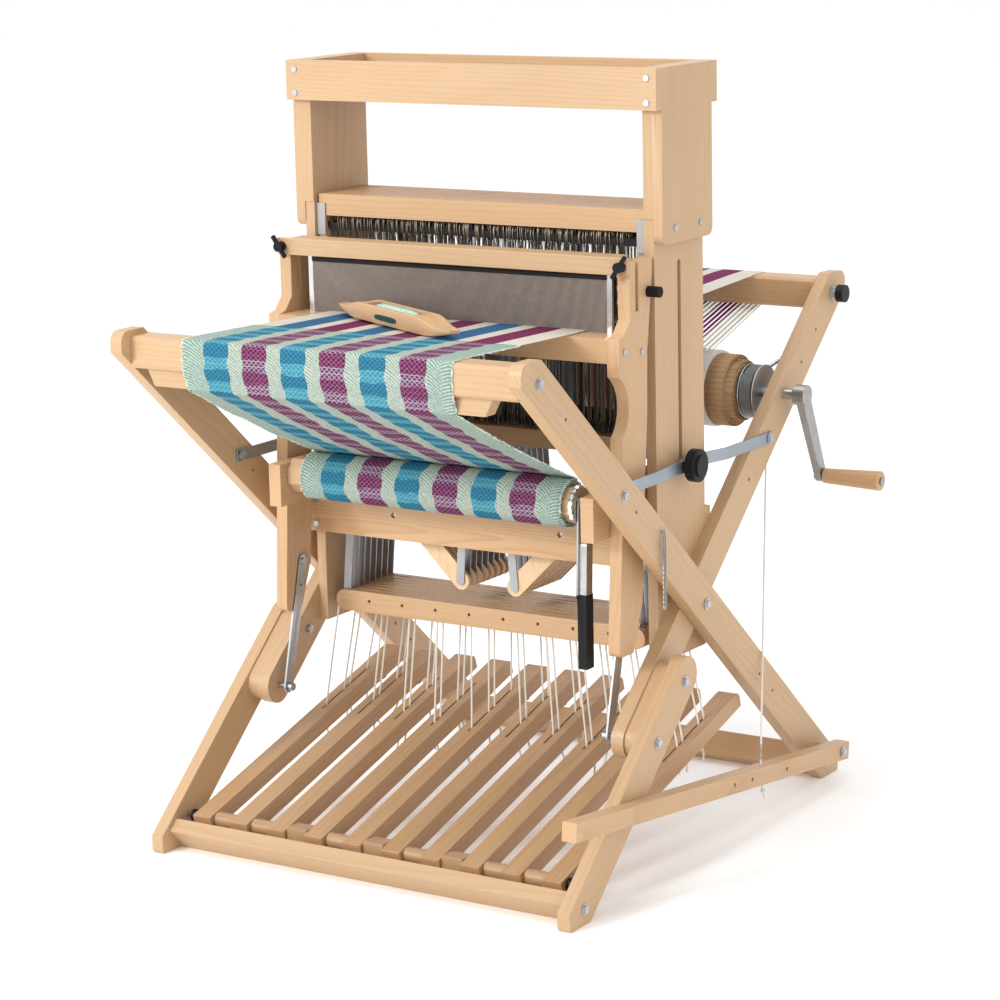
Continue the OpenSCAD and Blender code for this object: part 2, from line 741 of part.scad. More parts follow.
// Warp beam with its axle, brake drum, crank arm and washers
module warp_beam() {
    at = [warp_beam_y, warp_beam_z];
    tip = at + crank_l * [cos(65.6), -sin(65.6)];
    color(maple_dark) x_rod(-leg_b_x0 + 3, drum_x0, at, warp_core_r);
    color(zinc) {
        x_rod(-leg_b_x1 - 3, -leg_b_x0 + 3, at, warp_axle_r);
        x_rod(leg_b_x0 - 12, leg_c_x0 + 14, at, warp_axle_r);
        x_rod(drum_x0, leg_b_x0 - 12, at, drum_r - 4);
        x_rod(drum_x0, drum_x0 + 2, at, drum_r + 3);
        x_rod(leg_b_x0 - 14, leg_b_x0 - 12, at, drum_r + 3);
        difference() {
            union() {
                x_rod(leg_c_x0, leg_c_x0 + 19, at, 15);
                side_plate(leg_c_x0 + 5, leg_c_x0 + 16) crank_outline(at, tip);
            }
            x_rod(leg_c_x0 - 1, leg_c_x0 + 14, at, warp_axle_r);
        }
        x_rod(leg_c_x0 + 2, leg_c_x0 + 5, tip, 7);
        x_rod(leg_c_x0 + 16, leg_c_x0 + 18 + crank_handle_l, tip, 4);
        x_rod(leg_c_x0 + 18 + crank_handle_l, leg_c_x0 + 20 + crank_handle_l, tip, 6);
    }
}

module crank_outline(p, q) {
    v = (q - p) / norm(q - p);
    n = [-v[1], v[0]];
    polygon([p + 13 * n, q + 9 * n, q - 9 * n, p - 13 * n]);
    translate(q) circle(9);
}

module crank_handle() {
    at = [warp_beam_y, warp_beam_z] + crank_l * [cos(65.6), -sin(65.6)];
    x0 = leg_c_x0 + 17;
    color(maple) difference() {
        translate([x0, at[0], at[1]]) rotate([0, 90, 0]) cylinder(h = crank_handle_l, r1 = 11, r2 = 14.5);
        x_rod(x0 - 1, x0 + crank_handle_l + 1, at, 4 + run_gap);
    }
}

module warp_roll() {
    at = [warp_beam_y, warp_beam_z];
    color("#b08a60") difference() {
        x_rod(-warp_roll_w / 2, warp_roll_w / 2, at, warp_roll_r);
        x_rod(-warp_roll_w / 2 - 1, warp_roll_w / 2 + 1, at, warp_core_r);
    }
}

// Knobs over the ends of the folding straps, with bolts in the slots of the side panels
module lock_knobs() {
    at = [0, lock_z];
    knob_x0 = leg_b_x1 - 2;
    washer_r = bolt_head_r + 2;
    color(black) both_sides() {
        x_rod(knob_x0, knob_x0 + 14, at, lock_knob_r);
        x_rod(knob_x0 + 14, knob_x0 + 18, at, lock_knob_r - 7);
    }
    color(zinc) both_sides() {
        x_rod(panel_x0 - lock_head_t, strap_in_x - strap_play, at, bolt_r);
        x_rod(panel_x0 - lock_head_t, panel_x0 - side_gap, at, washer_r);
        x_rod(panel_x1 + side_gap, strap_in_x - strap_play, at, washer_r);
        x_rod(strap_out_x + lock_strap_t + strap_play, knob_x0, at, washer_r);
    }
}

// Plan of a strap from the leg bolt to the knob bolt, with a joggle towards the castle
module strap_plan(leg_x, knob_x, y_leg, y_knob) {
    s = y_leg > 0 ? 1 : -1;
    bend0 = s * 50;
    bend1 = s * 95;
    t = lock_strap_t;
    polygon([[knob_x, y_knob], [knob_x, bend0], [leg_x, bend1], [leg_x, y_leg],
        [leg_x + t, y_leg], [leg_x + t, bend1], [knob_x + t, bend0], [knob_x + t, y_knob]]);
}

module lock_strap(leg_x, knob_x, s) {
    y1 = s * lock_half;
    difference() {
        translate([0, 0, lock_z - lock_strap_h / 2]) linear_extrude(lock_strap_h)
            strap_plan(leg_x, knob_x, y1 + s * 8, -s * 10);
        x_rod(knob_x - 1, knob_x + lock_strap_t + 1, [0, lock_z], bolt_r + run_gap);
        x_rod(leg_x - 1, leg_x + lock_strap_t + 1, [y1, lock_z], bolt_r + run_gap);
    }
}

module lock_straps_front() {
    color(zinc) both_sides() lock_strap(front_strap_x, strap_out_x, -1);
}

module lock_straps_rear() {
    color(zinc) both_sides() lock_strap(leg_b_x1 + side_gap, strap_in_x, 1);
}

// Beater swords: shaped boards with a lip for the race and a recess for the steel strap
module sword_outline() {
    difference() {
        polygon([[-172, 306], [-136, 306], [-110, 372], [-98, 548], [-91, 629], [-89, 716],
            [-74, 821], [-74, cap_z1 - 6], [-134, cap_z1 - 6], [-134, race_top_z + 22],
            [-150, race_top_z + 4], [-165, race_top_z], [-165, race_z0 - 4], [-157, 560], [-172, 325]]);
        translate([-192, race_z0 - 62]) circle(52);
        translate([-172, 306]) corner_cut(8);
    }
}

module beater_swords() {
    color(maple_light) both_sides() difference() {
        side_plate(sword_x0, sword_x1) difference() {
            sword_outline();
            spot_hole(race_screw, screw_r);
            spot_hole(sword_screw, screw_r);
        }
        side_plate(beater_strap_x0 - 1, beater_strap_x1) capsule(lap_low, strap_top + [0, 6], 23);
        side_plate(sword_x0 - 1, sword_x1 + 1) translate([reed_y - 4, race_top_z + 32]) square([8, 200]);
    }
}

module shuttle_race() {
    color(maple_light) difference() {
        side_plate(-sword_x0, sword_x0) difference() {
            translate([reed_y - race_front, race_z0]) square([race_front + 10, race_h]);
            translate([reed_y - reed_t / 2 - run_gap, reed_z0]) square([reed_t + 2 * run_gap, 20]);
        }
        both_sides() x_rod(sword_x0 - 22, sword_x0 + 1, race_screw, screw_r);
    }
}

module reed() {
    half = reed_w / 2;
    color("#8f8f93") front_plate(reed_y - reed_t / 2, reed_y + reed_t / 2) difference() {
        translate([-half, reed_z0]) square([reed_w, reed_h]);
        translate([8 - half, reed_z0 + 5]) square([reed_w - 16, reed_h - 14]);
    }
}

module beater_cap() {
    color(maple_light) side_plate(-sword_x1, sword_x1) translate([reed_y - 25, cap_z0]) square([6, cap_h]);
    color(maple_light) side_plate(-sword_x0 + side_gap, sword_x0 - side_gap) difference() {
        translate([reed_y - 19, cap_z0]) square([30, cap_h]);
        translate([reed_y - reed_t / 2 - run_gap, cap_z0 - 1]) square([reed_t + 2 * run_gap, 5 + run_gap]);
    }
}

// Steel straps down to the beater pivot, screws, wing knobs and rubber sleeves
module beater_fittings() {
    color(zinc) both_sides() {
        difference() {
            side_plate(beater_strap_x0, beater_strap_x1 - 0.2) capsule(lap_low, strap_top, 19);
            x_rod(beater_strap_x0 - 1, beater_strap_x1 + 1, lap_low, bolt_r + run_gap);
        }
        for (p = [strap_top, strap_top + [-5, -38]]) x_rod(sword_x0 - 3, sword_x0, p, 5);
        screw(sword_x1, race_screw);
        x_rod(sword_x0 - 22, sword_x1, race_screw, screw_r);
        screw(sword_x1, sword_screw);
    }
    color(black) both_sides() {
        x_rod(sword_x1, leg_a_x0 - side_gap, [-85, 795], 7.5);
        y_rod(reed_y - 37, reed_y - 25, sword_x1 - 9, cap_z0 + cap_h / 2, 7);
        translate([sword_x1 - 9, reed_y - 33, cap_z0 + cap_h / 2]) rotate([0, 35, 0])
            cube([5, 5, 36], center = true);
    }
}

// Direction across the step from point i to the next one
function across(points, i) = let (v = points[i + 1] - points[i]) [-v[1], v[0]] / norm(v);

// Point i moved sideways by d, on the mitre where two steps meet
function mitre(points, i, d) =
    let (a = across(points, max(i - 1, 0)), b = across(points, min(i, len(points) - 2)))
    points[i] + d * (a + b) / (1 + a * b);

// A strip of the given thickness along a list of points
module strip(points, t) {
    n = len(points) - 1;
    polygon(concat(
        [for (i = [0:n]) mitre(points, i, t / 2)],
        [for (i = [n:-1:0]) mitre(points, i, -t / 2)]));
}

// Point at which a straight line from p touches a roll, on its upper side or with side -1 its lower one
function touch(c, r, p, side = 1) =
    let (v = c - p, n = norm(v), a = atan2(v[1], v[0]) + side * (v[0] > 0 ? 1 : -1) * asin(r / n))
    p + sqrt(n * n - r * r) * [cos(a), sin(a)];

// Cloth from the roll over the breast beam, and warp through the heddles over the back beam
module warp_and_cloth() {
    tuck = web_gap * (sqrt(2) - 1);
    turn = beam_chamfer + web_gap - tuck;
    low = web_low_z + beam_chamfer - tuck;
    knee_y = -beam_y - knee_bar_w / 2;
    knee_z = web_low_z - knee_bar_w;
    knee = [knee_y - tuck, knee_z - web_gap];
    roll_at = touch([-cloth_beam_y, cloth_beam_z], cloth_roll_r + web_gap, knee);
    front = [roll_at, knee, [knee_y - web_gap, knee_z - tuck], [-web_face_y, low],
        [-web_face_y, web_top_z - turn], [turn - web_face_y, web_top_z], [-beam_y + beam_w / 2, web_top_z],
        [-shed_y - 8, eye_z]];
    edge = [web_face_y - turn, web_low_z - web_gap];
    beam_at = touch([warp_beam_y, warp_beam_z], warp_roll_r + web_gap, edge);
    rear = [[shed_y + 8, eye_z], [beam_y - beam_w / 2, web_top_z], [web_face_y - turn, web_top_z],
        [web_face_y, web_top_z - turn], [web_face_y, low], edge, beam_at];
    color("#9bc9c4") side_plate(web_x0, web_x1) strip(concat(front, rear), web_t);
}

// Cords from the lamms to the treadles, four to each treadle in a twill order, and the brake cord
module tie_up_cords() {
    ys = [for (i = [0:shaft_count - 1]) i * shaft_pitch - shed_y];
    color("ivory") for (t = [1:treadle_count], k = [0:shaft_count - 1])
        if ((k + t) % 4 < 2) {
            x = treadle_x(t);
            rise = (ys[k] + treadle_rod_y) * tan(treadle_angle) + (treadle_t / 2 + 1) / treadle_cos;
            rod_between([x, ys[k], treadle_rod_z + rise], [x * 0.8, ys[k], lamm_z0 - 1], cord_r);
        }
    drum_at = touch([warp_beam_y, warp_beam_z], drum_r - 4 + cord_r + soft_gap, brake_cord_low, -1);
    color("ivory") rod_between([drum_x0 + drum_w / 2, drum_at[0], drum_at[1]],
        [pedal_x0 + pedal_w / 2, brake_cord_low[0], brake_cord_low[1]], cord_r);
}

// A treadle on its rod, sloping up to the rear, with a slit for the tie-up cords
module treadle(i) {
    x = treadle_x(i);
    at = [-treadle_rod_y, treadle_rod_z];
    slit_y = treadle_rod_y / treadle_cos;
    color(maple_dark) translate([0, at[0], at[1]]) rotate([treadle_angle, 0, 0]) difference() {
        side_plate(x - treadle_w / 2, x + treadle_w / 2) difference() {
            translate([-treadle_nose, -treadle_t / 2]) square([treadle_nose + treadle_l, treadle_t]);
            translate([treadle_l, treadle_t / 2]) scale([-1, -1]) corner_cut(10);
            circle(treadle_rod_r + run_gap);
        }
        translate([x - 1.5, slit_y - 64, -treadle_t]) cube([3, 128, 2 * treadle_t]);
    }
}

// A shaft frame with its two heddle bars and the slots for the lift straps
module shaft_frame(y) {
    half = shaft_w / 2;
    side = 12;
    color(maple) difference() {
        front_plate(y - shaft_t / 2, y + shaft_t / 2) difference() {
            translate([-half, shaft_z0]) square([shaft_w, shaft_z1 - shaft_z0]);
            translate([side - half, shaft_z0 + shaft_low_h])
                square([shaft_w - 2 * side, shaft_z1 - shaft_z0 - shaft_low_h - shaft_top_h]);
            for (s = [-1, 1]) spot_hole([s * lift_mean_x, shaft_pin_z], pin_r + run_gap);
        }
        for (s = [-1, 1]) translate([s * lift_mean_x, y, shaft_z0 + 9])
            cube([jack_strap_w + 14, jack_strap_t + 2 * soft_gap, 24], center = true);
    }
    color(zinc) for (z = [shaft_z0 + shaft_low_h + 6, shaft_z1 - shaft_top_h - 20])
        front_plate(y - 1, y + 1) translate([side - half, z]) square([shaft_w - 2 * side, 10]);
}

module shafts_odd() {
    for (y = odd_shafts) shaft_frame(y);
}

module shafts_even() {
    for (y = even_shafts) shaft_frame(y);
}

// A lamm with round ends, slots for the pull straps and a row of cord holes
module lamm(y) {
    color(maple_light) difference() {
        front_plate(y - shaft_t / 2, y + shaft_t / 2) difference() {
            capsule([-lamm_pin_x, lamm_pin_z], [lamm_pin_x, lamm_pin_z], lamm_h);
            for (s = [-1, 1]) spot_hole([s * lamm_pin_x, lamm_pin_z], pin_r + run_gap);
            for (k = [-3.5:1:3.5]) spot_hole([k * 58, lamm_pin_z + 2], screw_r);
        }
        for (s = [-1, 1]) translate([s * lamm_pin_x, y, lamm_pin_z + 6])
            cube([jack_strap_w + 14, jack_strap_t + 2 * soft_gap, 30], center = true);
    }
}

module lamms_odd() {
    for (y = odd_shafts) lamm(y);
}

module lamms_even() {
    for (y = even_shafts) lamm(y);
}

// Right-hand jack: a plate beside its straps, loose on the axle and at both strap pins
module jack(y) {
    y0 = y + jack_strap_t / 2 + soft_gap;
    color(maple_light) front_plate(y0, y0 + jack_t) difference() {
        union() {
            capsule([jack_x, jack_z], [lift_x, lift_z], jack_w);
            capsule([jack_x, jack_z], [pull_x, pull_z], jack_w);
        }
        spot_hole([jack_x, jack_z], bolt_r + run_gap);
        spot_hole([lift_x, lift_z], pin_r + link_play);
        spot_hole([pull_x, pull_z], pin_r + link_play);
    }
}

// A strap between two pins, with the pins that it carries
module jack_strap(y, p, q, fixed) {
    y1 = y + jack_strap_t / 2;
    color(zinc) {
        front_plate(y - jack_strap_t / 2, y1) capsule(p, q, jack_strap_w);
        y_rod(y1 - hair, y1 + soft_gap + jack_t + 1, q[0], q[1], pin_r);
        y_rod(y1 + soft_gap * 2 + jack_t, y1 + soft_gap + jack_t + 1, q[0], q[1], pin_r + link_play + 1);
        y_rod(y - shaft_t / 2, y + shaft_t / 2, fixed[0], fixed[1], pin_r);
    }
}

module lift_strap(y) {
    top = [lift_mean_x, shaft_pin_z];
    jack_strap(y, top, [lift_x, lift_z], top);
}

module pull_strap(y) {
    low = [lamm_pin_x, lamm_pin_z];
    jack_strap(y, low, [pull_x, pull_z], low);
}

module jacks_odd_left() mirror([1, 0, 0]) for (y = odd_shafts) jack(y);
module jacks_odd_right() for (y = odd_shafts) jack(y);
module jacks_even_left() mirror([1, 0, 0]) for (y = even_shafts) jack(y);
module jacks_even_right() for (y = even_shafts) jack(y);
module lift_straps_odd_left() mirror([1, 0, 0]) for (y = odd_shafts) lift_strap(y);
module lift_straps_odd_right() for (y = odd_shafts) lift_strap(y);
module lift_straps_even_left() mirror([1, 0, 0]) for (y = even_shafts) lift_strap(y);
module lift_straps_even_right() for (y = even_shafts) lift_strap(y);
module pull_straps_odd_left() mirror([1, 0, 0]) for (y = odd_shafts) pull_strap(y);
module pull_straps_odd_right() for (y = odd_shafts) pull_strap(y);
module pull_straps_even_left() mirror([1, 0, 0]) for (y = even_shafts) pull_strap(y);
module pull_straps_even_right() for (y = even_shafts) pull_strap(y);

side_panels();
upper_side_boards();
top_tray();
apron_boards();
cloth_beam_brackets();
castle_fasteners();
rear_foot_legs();
rear_foot_beam();
breast_beam();
knee_bar();
front_frame_bolts();
brake_pedal();
back_beam_legs();
front_feet();
back_beam();
front_foot_beam();
rear_frame_bolts();
treadle_rod();
warp_beam();
warp_roll();
crank_handle();
lock_knobs();
lock_straps_front();
lock_straps_rear();
beater_swords();
shuttle_race();
reed();
beater_cap();
beater_fittings();
cloth_beam();
cloth_roll();
ratchet_lever();
warp_and_cloth();
tie_up_cords();
treadle(1);  // treadle_1
treadle(2);  // treadle_2
treadle(3);  // treadle_3
treadle(4);  // treadle_4
treadle(5);  // treadle_5
treadle(6);  // treadle_6
treadle(7);  // treadle_7
treadle(8);  // treadle_8
treadle(9);  // treadle_9
treadle(10);  // treadle_10
shafts_odd();
shafts_even();
lamms_odd();
lamms_even();
jacks_odd_left();
jacks_odd_right();
jacks_even_left();
jacks_even_right();
lift_straps_odd_left();
lift_straps_odd_right();
lift_straps_even_left();
lift_straps_even_right();
pull_straps_odd_left();
pull_straps_odd_right();
pull_straps_even_left();
pull_straps_even_right();
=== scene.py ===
import json
import math
import bmesh
import bpy
import numpy as np
from mathutils import Matrix


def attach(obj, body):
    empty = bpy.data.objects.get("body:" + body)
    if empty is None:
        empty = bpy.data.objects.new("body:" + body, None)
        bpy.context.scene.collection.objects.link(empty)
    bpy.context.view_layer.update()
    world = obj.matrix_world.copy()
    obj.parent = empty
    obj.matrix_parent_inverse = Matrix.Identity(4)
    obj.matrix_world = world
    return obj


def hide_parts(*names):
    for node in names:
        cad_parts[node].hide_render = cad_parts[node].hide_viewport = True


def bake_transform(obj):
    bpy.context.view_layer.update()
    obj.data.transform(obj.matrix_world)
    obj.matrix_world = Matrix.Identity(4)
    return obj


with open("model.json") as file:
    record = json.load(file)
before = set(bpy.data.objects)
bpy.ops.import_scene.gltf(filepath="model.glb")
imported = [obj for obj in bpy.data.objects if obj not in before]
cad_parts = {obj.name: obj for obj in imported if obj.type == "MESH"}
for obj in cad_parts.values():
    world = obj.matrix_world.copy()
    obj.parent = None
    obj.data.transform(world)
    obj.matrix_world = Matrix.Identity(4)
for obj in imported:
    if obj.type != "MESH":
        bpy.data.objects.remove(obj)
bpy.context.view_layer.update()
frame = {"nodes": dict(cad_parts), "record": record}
rowBodies = frame["record"]["behaviour"]["bodies"]
bodyOf = {node: body for body, nodes in rowBodies.items() for node in nodes}
wholeTurn = 2 * math.pi

# camera and light

view = {"place": (2.3416, -3.6713, 1.3897), "yaw": 32.6427, "pitch": 11.9841, "roll": -1.2524,
        "focalPixels": 3103.6, "framePixels": 1000, "sensor": 36.0}
lights = {"keyLight": {"place": (-1.6, -4.0, 2.3), "aim": (0, 0, 0.6), "size": 1.4, "power": 112},
          "topLight": {"place": (-0.3, -0.6, 3.6), "aim": (0, 0, 0.7), "size": 1.8, "power": 32},
          "sideLight": {"place": (3.6, -0.6, 1.4), "aim": (0, 0, 0.6), "size": 1.6, "power": 6}}
studio = {"colour": (1.0, 1.0, 1.0, 1.0), "strength": 1.0}


def placeCamera(v):
    # ahead is the +y axis turned left by yaw and down by pitch; roll turns the picture about it
    yaw, pitch, roll = (math.radians(v[k]) for k in ("yaw", "pitch", "roll"))
    ahead = np.array([-math.sin(yaw) * math.cos(pitch), math.cos(yaw) * math.cos(pitch), -math.sin(pitch)])
    level = np.array([math.cos(yaw), math.sin(yaw), 0.0])
    over = np.cross(level, ahead)
    right = math.cos(roll) * level + math.sin(roll) * over
    up = -math.sin(roll) * level + math.cos(roll) * over
    data = bpy.data.cameras.new("camera")
    data.sensor_width = v["sensor"]
    data.lens = v["focalPixels"] / v["framePixels"] * v["sensor"]
    data.clip_end = 60.0
    camera = bpy.data.objects.new("camera", data)
    rows = [[right[i], up[i], -ahead[i], v["place"][i]] for i in range(3)]
    camera.matrix_world = Matrix(rows + [[0, 0, 0, 1]])
    bpy.context.collection.objects.link(camera)
    bpy.context.scene.camera = camera


def addLight(name, place, aim, size, power):
    # a round lamp at its place, turned to look at its aim
    data = bpy.data.lights.new(name, "AREA")
    data.shape = "DISK"
    data.size, data.energy = size, power
    lamp = bpy.data.objects.new(name, data)
    lamp.location = place
    gap = np.array(place, float) - np.array(aim, float)
    lamp.rotation_euler = (math.acos(gap[2] / np.linalg.norm(gap)), 0.0, math.atan2(gap[0], -gap[1]))
    bpy.context.collection.objects.link(lamp)


placeCamera(view)
for name, lamp in lights.items():
    addLight(name, **lamp)

world = bpy.data.worlds.new("studio")
bpy.context.scene.world = world
world.use_nodes = True
background = world.node_tree.nodes["Background"]
background.inputs["Color"].default_value = studio["colour"]
background.inputs["Strength"].default_value = studio["strength"]
bpy.context.scene.view_settings.view_transform = "Standard"
print("camera and light")

# shader sums


class Shade:
    # wraps one socket, so that sums of sockets and numbers add their Math nodes
    def __init__(self, tree, socket=None):
        self.tree, self.socket = tree, socket

    def node(self, kind, settings=None, sockets=None, out=0):
        # any node: its type, its settings, which are set first, what its sockets hold, and the output wanted
        made = self.tree.nodes.new(kind)
        for key, value in (settings or {}).items():
            if key == "stops":
                ramp = made.color_ramp
                while len(ramp.elements) < len(value):
                    ramp.elements.new(0.5)
                for element, (place, colour) in zip(ramp.elements, value):
                    element.position, element.color = place, (*colour, 1.0)
            else:
                setattr(made, key, value)
        for key, value in (sockets or {}).items():
            if isinstance(value, Shade):
                self.tree.links.new(value.socket, made.inputs[key])
            else:
                made.inputs[key].default_value = value
        return Shade(self.tree, made.outputs[out] if made.outputs else None)

    def maths(self, operation, first, second=0.0, clamp=False):
        settings = {"operation": operation, "use_clamp": clamp}
        return self.node("ShaderNodeMath", settings, {0: first, 1: second})

    def mix(self, share, first, second):
        pair = {0: share, 6: colour4(first), 7: colour4(second)}
        return self.node("ShaderNodeMix", {"data_type": "RGBA"}, pair, 2)

    def __add__(self, other):
        return self.maths("ADD", self, other)

    def __sub__(self, other):
        return self.maths("SUBTRACT", self, other)

    def __rsub__(self, other):
        return self.maths("SUBTRACT", other, self)

    def __mul__(self, other):
        return self.maths("MULTIPLY", self, other)

    def __truediv__(self, other):
        return self.maths("DIVIDE", self, other)

    def __rtruediv__(self, other):
        return self.maths("DIVIDE", other, self)

    def __pow__(self, other):
        return self.maths("POWER", self, other)

    def __rpow__(self, other):
        return self.maths("POWER", other, self)

    __radd__ = __add__
    __rmul__ = __mul__

    def below(self, other):
        return self.maths("LESS_THAN", self, other)

    def sine(self):
        return self.maths("SINE", self)

    def absolute(self):
        return self.maths("ABSOLUTE", self)

    def fraction(self):
        return self.maths("FRACT", self)

    def floor(self):
        return self.maths("FLOOR", self)

    def least(self, other):
        return self.maths("MINIMUM", self, other)

    def clamped(self):
        return self.maths("ADD", self, 0.0, True)


def colour4(value):
    return value if isinstance(value, Shade) else (*value, 1.0)


def spot(s):
    # object coordinates as one vector
    return s.node("ShaderNodeTexCoord", out="Object")


def parts(s, point, count=3):
    # the first parts of a vector, each a value of its own
    return [s.node("ShaderNodeSeparateXYZ", None, {0: point}, k) for k in range(count)]


def weave(s):
    # the piece's own flat coordinates, across and along, in metres
    return parts(s, s.node("ShaderNodeUVMap", {"uv_map": "weave"}), 2)


def vector(s, x, y, z):
    return s.node("ShaderNodeCombineXYZ", None, {0: x, 1: y, 2: z})


def noise(s, at, scale, detail=2.0, rough=0.5):
    values = {"Vector": at, "Scale": scale, "Detail": detail, "Roughness": rough}
    return s.node("ShaderNodeTexNoise", None, values)


def bump(s, height, strength, distance):
    return s.node("ShaderNodeBump", None, {"Height": height, "Strength": strength, "Distance": distance})


def material(name, build):
    # a Principled surface with the values and links that build gives
    made = bpy.data.materials.new(name)
    made.use_nodes = True
    tree = made.node_tree
    tree.nodes.clear()
    s = Shade(tree)
    surface = s.node("ShaderNodeBsdfPrincipled", None, build(s))
    s.node("ShaderNodeOutputMaterial", None, {"Surface": surface})
    return made


# finishes

maple = {"pale": {"light": (0.535, 0.348, 0.192), "dark": (0.40, 0.238, 0.114), "figure": 0.36, "bend": 0.055},
         "figured": {"light": (0.60, 0.37, 0.19), "dark": (0.43, 0.235, 0.10), "figure": 0.62, "bend": 0.130},
         "warm": {"light": (0.56, 0.35, 0.185), "dark": (0.42, 0.24, 0.11), "figure": 0.36, "bend": 0.070},
         "treadle": {"light": (0.50, 0.305, 0.16), "dark": (0.36, 0.20, 0.09), "figure": 0.42, "bend": 0.060},
         "deep": {"light": (0.44, 0.27, 0.145), "dark": (0.30, 0.165, 0.08), "figure": 0.40, "bend": 0.050}}
growth = {"pithDown": 0.16, "pithDeep": 0.13, "rings": 170.0, "fibres": 620.0, "flecks": 900.0}
lean = {"y": 0.0, "z": 90.0, "rearLeg": 41.3, "frontLeg": 138.7, "treadle": 15.7, "pedal": 173.1}  # degrees
woodCache = {}


def wood(tone, grain):
    # rings: distance from a far-off pith line, bent by noise; fibres: noise drawn out along the grain
    if (tone, grain) in woodCache:
        return woodCache[tone, grain]
    t = maple[tone]

    def build(s):
        x, y, z = parts(s, spot(s))
        if grain == "x":
            along, across, depth = x, z, y
        else:
            c, d = math.cos(math.radians(lean[grain])), math.sin(math.radians(lean[grain]))
            along, across, depth = y * c + z * d, z * c - y * d, x
        drift = noise(s, vector(s, along * 0.10, across, depth), 9.0)
        blotch = noise(s, vector(s, along * 0.5, across * 2.0, depth * 1.3), 7.0)
        up, back = across + growth["pithDown"], depth - growth["pithDeep"]
        far = (up * up + back * back) ** 0.5
        line = ((far + drift * t["bend"] + along * 0.012) * growth["rings"]).fraction() ** 3.0
        fibres = noise(s, vector(s, along * 0.035, across, depth), growth["fibres"], 2.0, 0.6)
        flecks = noise(s, vector(s, along * 0.12, across, depth), growth["flecks"], 1.0)
        fleck = ((flecks - 0.62) * 9.0).clamped()
        share = line * t["figure"] + (fibres - 0.42) * 0.55 + (blotch - 0.5) * 0.7 + fleck * 0.25
        return {"Base Color": s.mix(share.clamped(), t["light"], t["dark"]), "Roughness": fibres * 0.16 + 0.36,
                "Coat Weight": 0.12, "Coat Roughness": 0.35,
                "Normal": bump(s, fibres * 0.7 + line * 0.3, 0.18, 0.0005)}

    woodCache[tone, grain] = material("maple_" + tone + "_" + grain, build)
    return woodCache[tone, grain]


ply = {"light": (0.82, 0.60, 0.37), "dark": (0.55, 0.35, 0.19), "layers": 830.0, "glue": 0.32}


def plyBuild(s):
    # birch face with fine fibres; the glue lines show as layers across the thickness
    x, y, z = parts(s, spot(s))
    fibres = noise(s, vector(s, x * 0.6 + z * 0.1, y * 6.0, z * 0.12 - x * 0.02), 260.0)
    layers = (y * ply["layers"]).fraction().below(ply["glue"])
    colour = s.mix((fibres * 0.8 - 0.1 + layers * 0.08).clamped(), ply["light"], ply["dark"])
    return {"Base Color": colour, "Roughness": 0.5, "Normal": bump(s, fibres, 0.15, 0.0004)}


def metalBuild(light, dark, rough, scale, streak):
    # plated metal: broad cloudy tone with fine streaks
    def build(s):
        x, y, z = parts(s, spot(s))
        cloud = noise(s, spot(s), scale, 3.0)
        fine = noise(s, vector(s, x * 2.0, y * streak, z * 2.0), 420.0, 1.0)
        share = (cloud * 0.8 + fine * 0.4 - 0.15).clamped()
        return {"Base Color": s.mix(share, light, dark), "Metallic": 1.0,
                "Roughness": fine * 0.18 + rough, "Normal": bump(s, fine, 0.08, 0.0003)}
    return build


def plasticBuild(colour, rough):
    # moulded plastic: one colour with a cloudy lighter share and a fine grain
    def build(s):
        grain = noise(s, spot(s), 900.0)
        cloud = noise(s, spot(s), 30.0)
        pale = tuple(c * 1.7 + 0.004 for c in colour)
        return {"Base Color": s.mix(cloud * 0.4, colour, pale), "Roughness": grain * 0.2 + rough,
                "Specular IOR Level": 0.22, "Normal": bump(s, grain, 0.1, 0.0004)}
    return build


stripe = {"left": -0.2175, "width": 0.4278, "first": 0.0349, "pitch": 0.0629, "coloured": 0.0400,
          "middle": 2.82, "reach": 2.87, "block": 0.034, "diamond": 0.0076, "slant": 1.15, "braid": 0.0046,
          "border": 0.1780, "warpYarn": 0.0016, "weftYarn": 0.0015, "woundYarn": 0.0014, "woundShare": 0.93,
          "cream": (0.76, 0.74, 0.63), "mint": (0.20, 0.48, 0.42), "blue": (0.012, 0.15, 0.29),
          "plum": (0.185, 0.003, 0.085), "brightBlue": (0.065, 0.37, 0.50), "palePlum": (0.25, 0.070, 0.18),
          # painted shade: gap, at the end of the next line, is a darkened mint for the lines between strokes
          "netOnBlue": (0.22, 0.58, 0.64), "netOnPlum": (0.55, 0.60, 0.66), "gap": (0.09, 0.22, 0.20),
          # painted shade: the near-black colour on the next line, laid over the whole weave
          "weaveShade": (0.02, 0.03, 0.04)}


def stripeMasks(s, across, swell):
    # inside a coloured stripe or not, whether that stripe is plum, and how far its middle line is
    step = (across - stripe["first"]) / stripe["pitch"]
    middle = ((step.fraction() * stripe["pitch"]) - stripe["coloured"] / 2).absolute()
    inside = middle.below(swell + stripe["coloured"] / 2)
    inRange = (step - stripe["middle"]).absolute().below(stripe["reach"])
    plum = (step.floor() * 0.5).fraction()
    return inside * inRange, (plum * 2.0).clamped(), middle


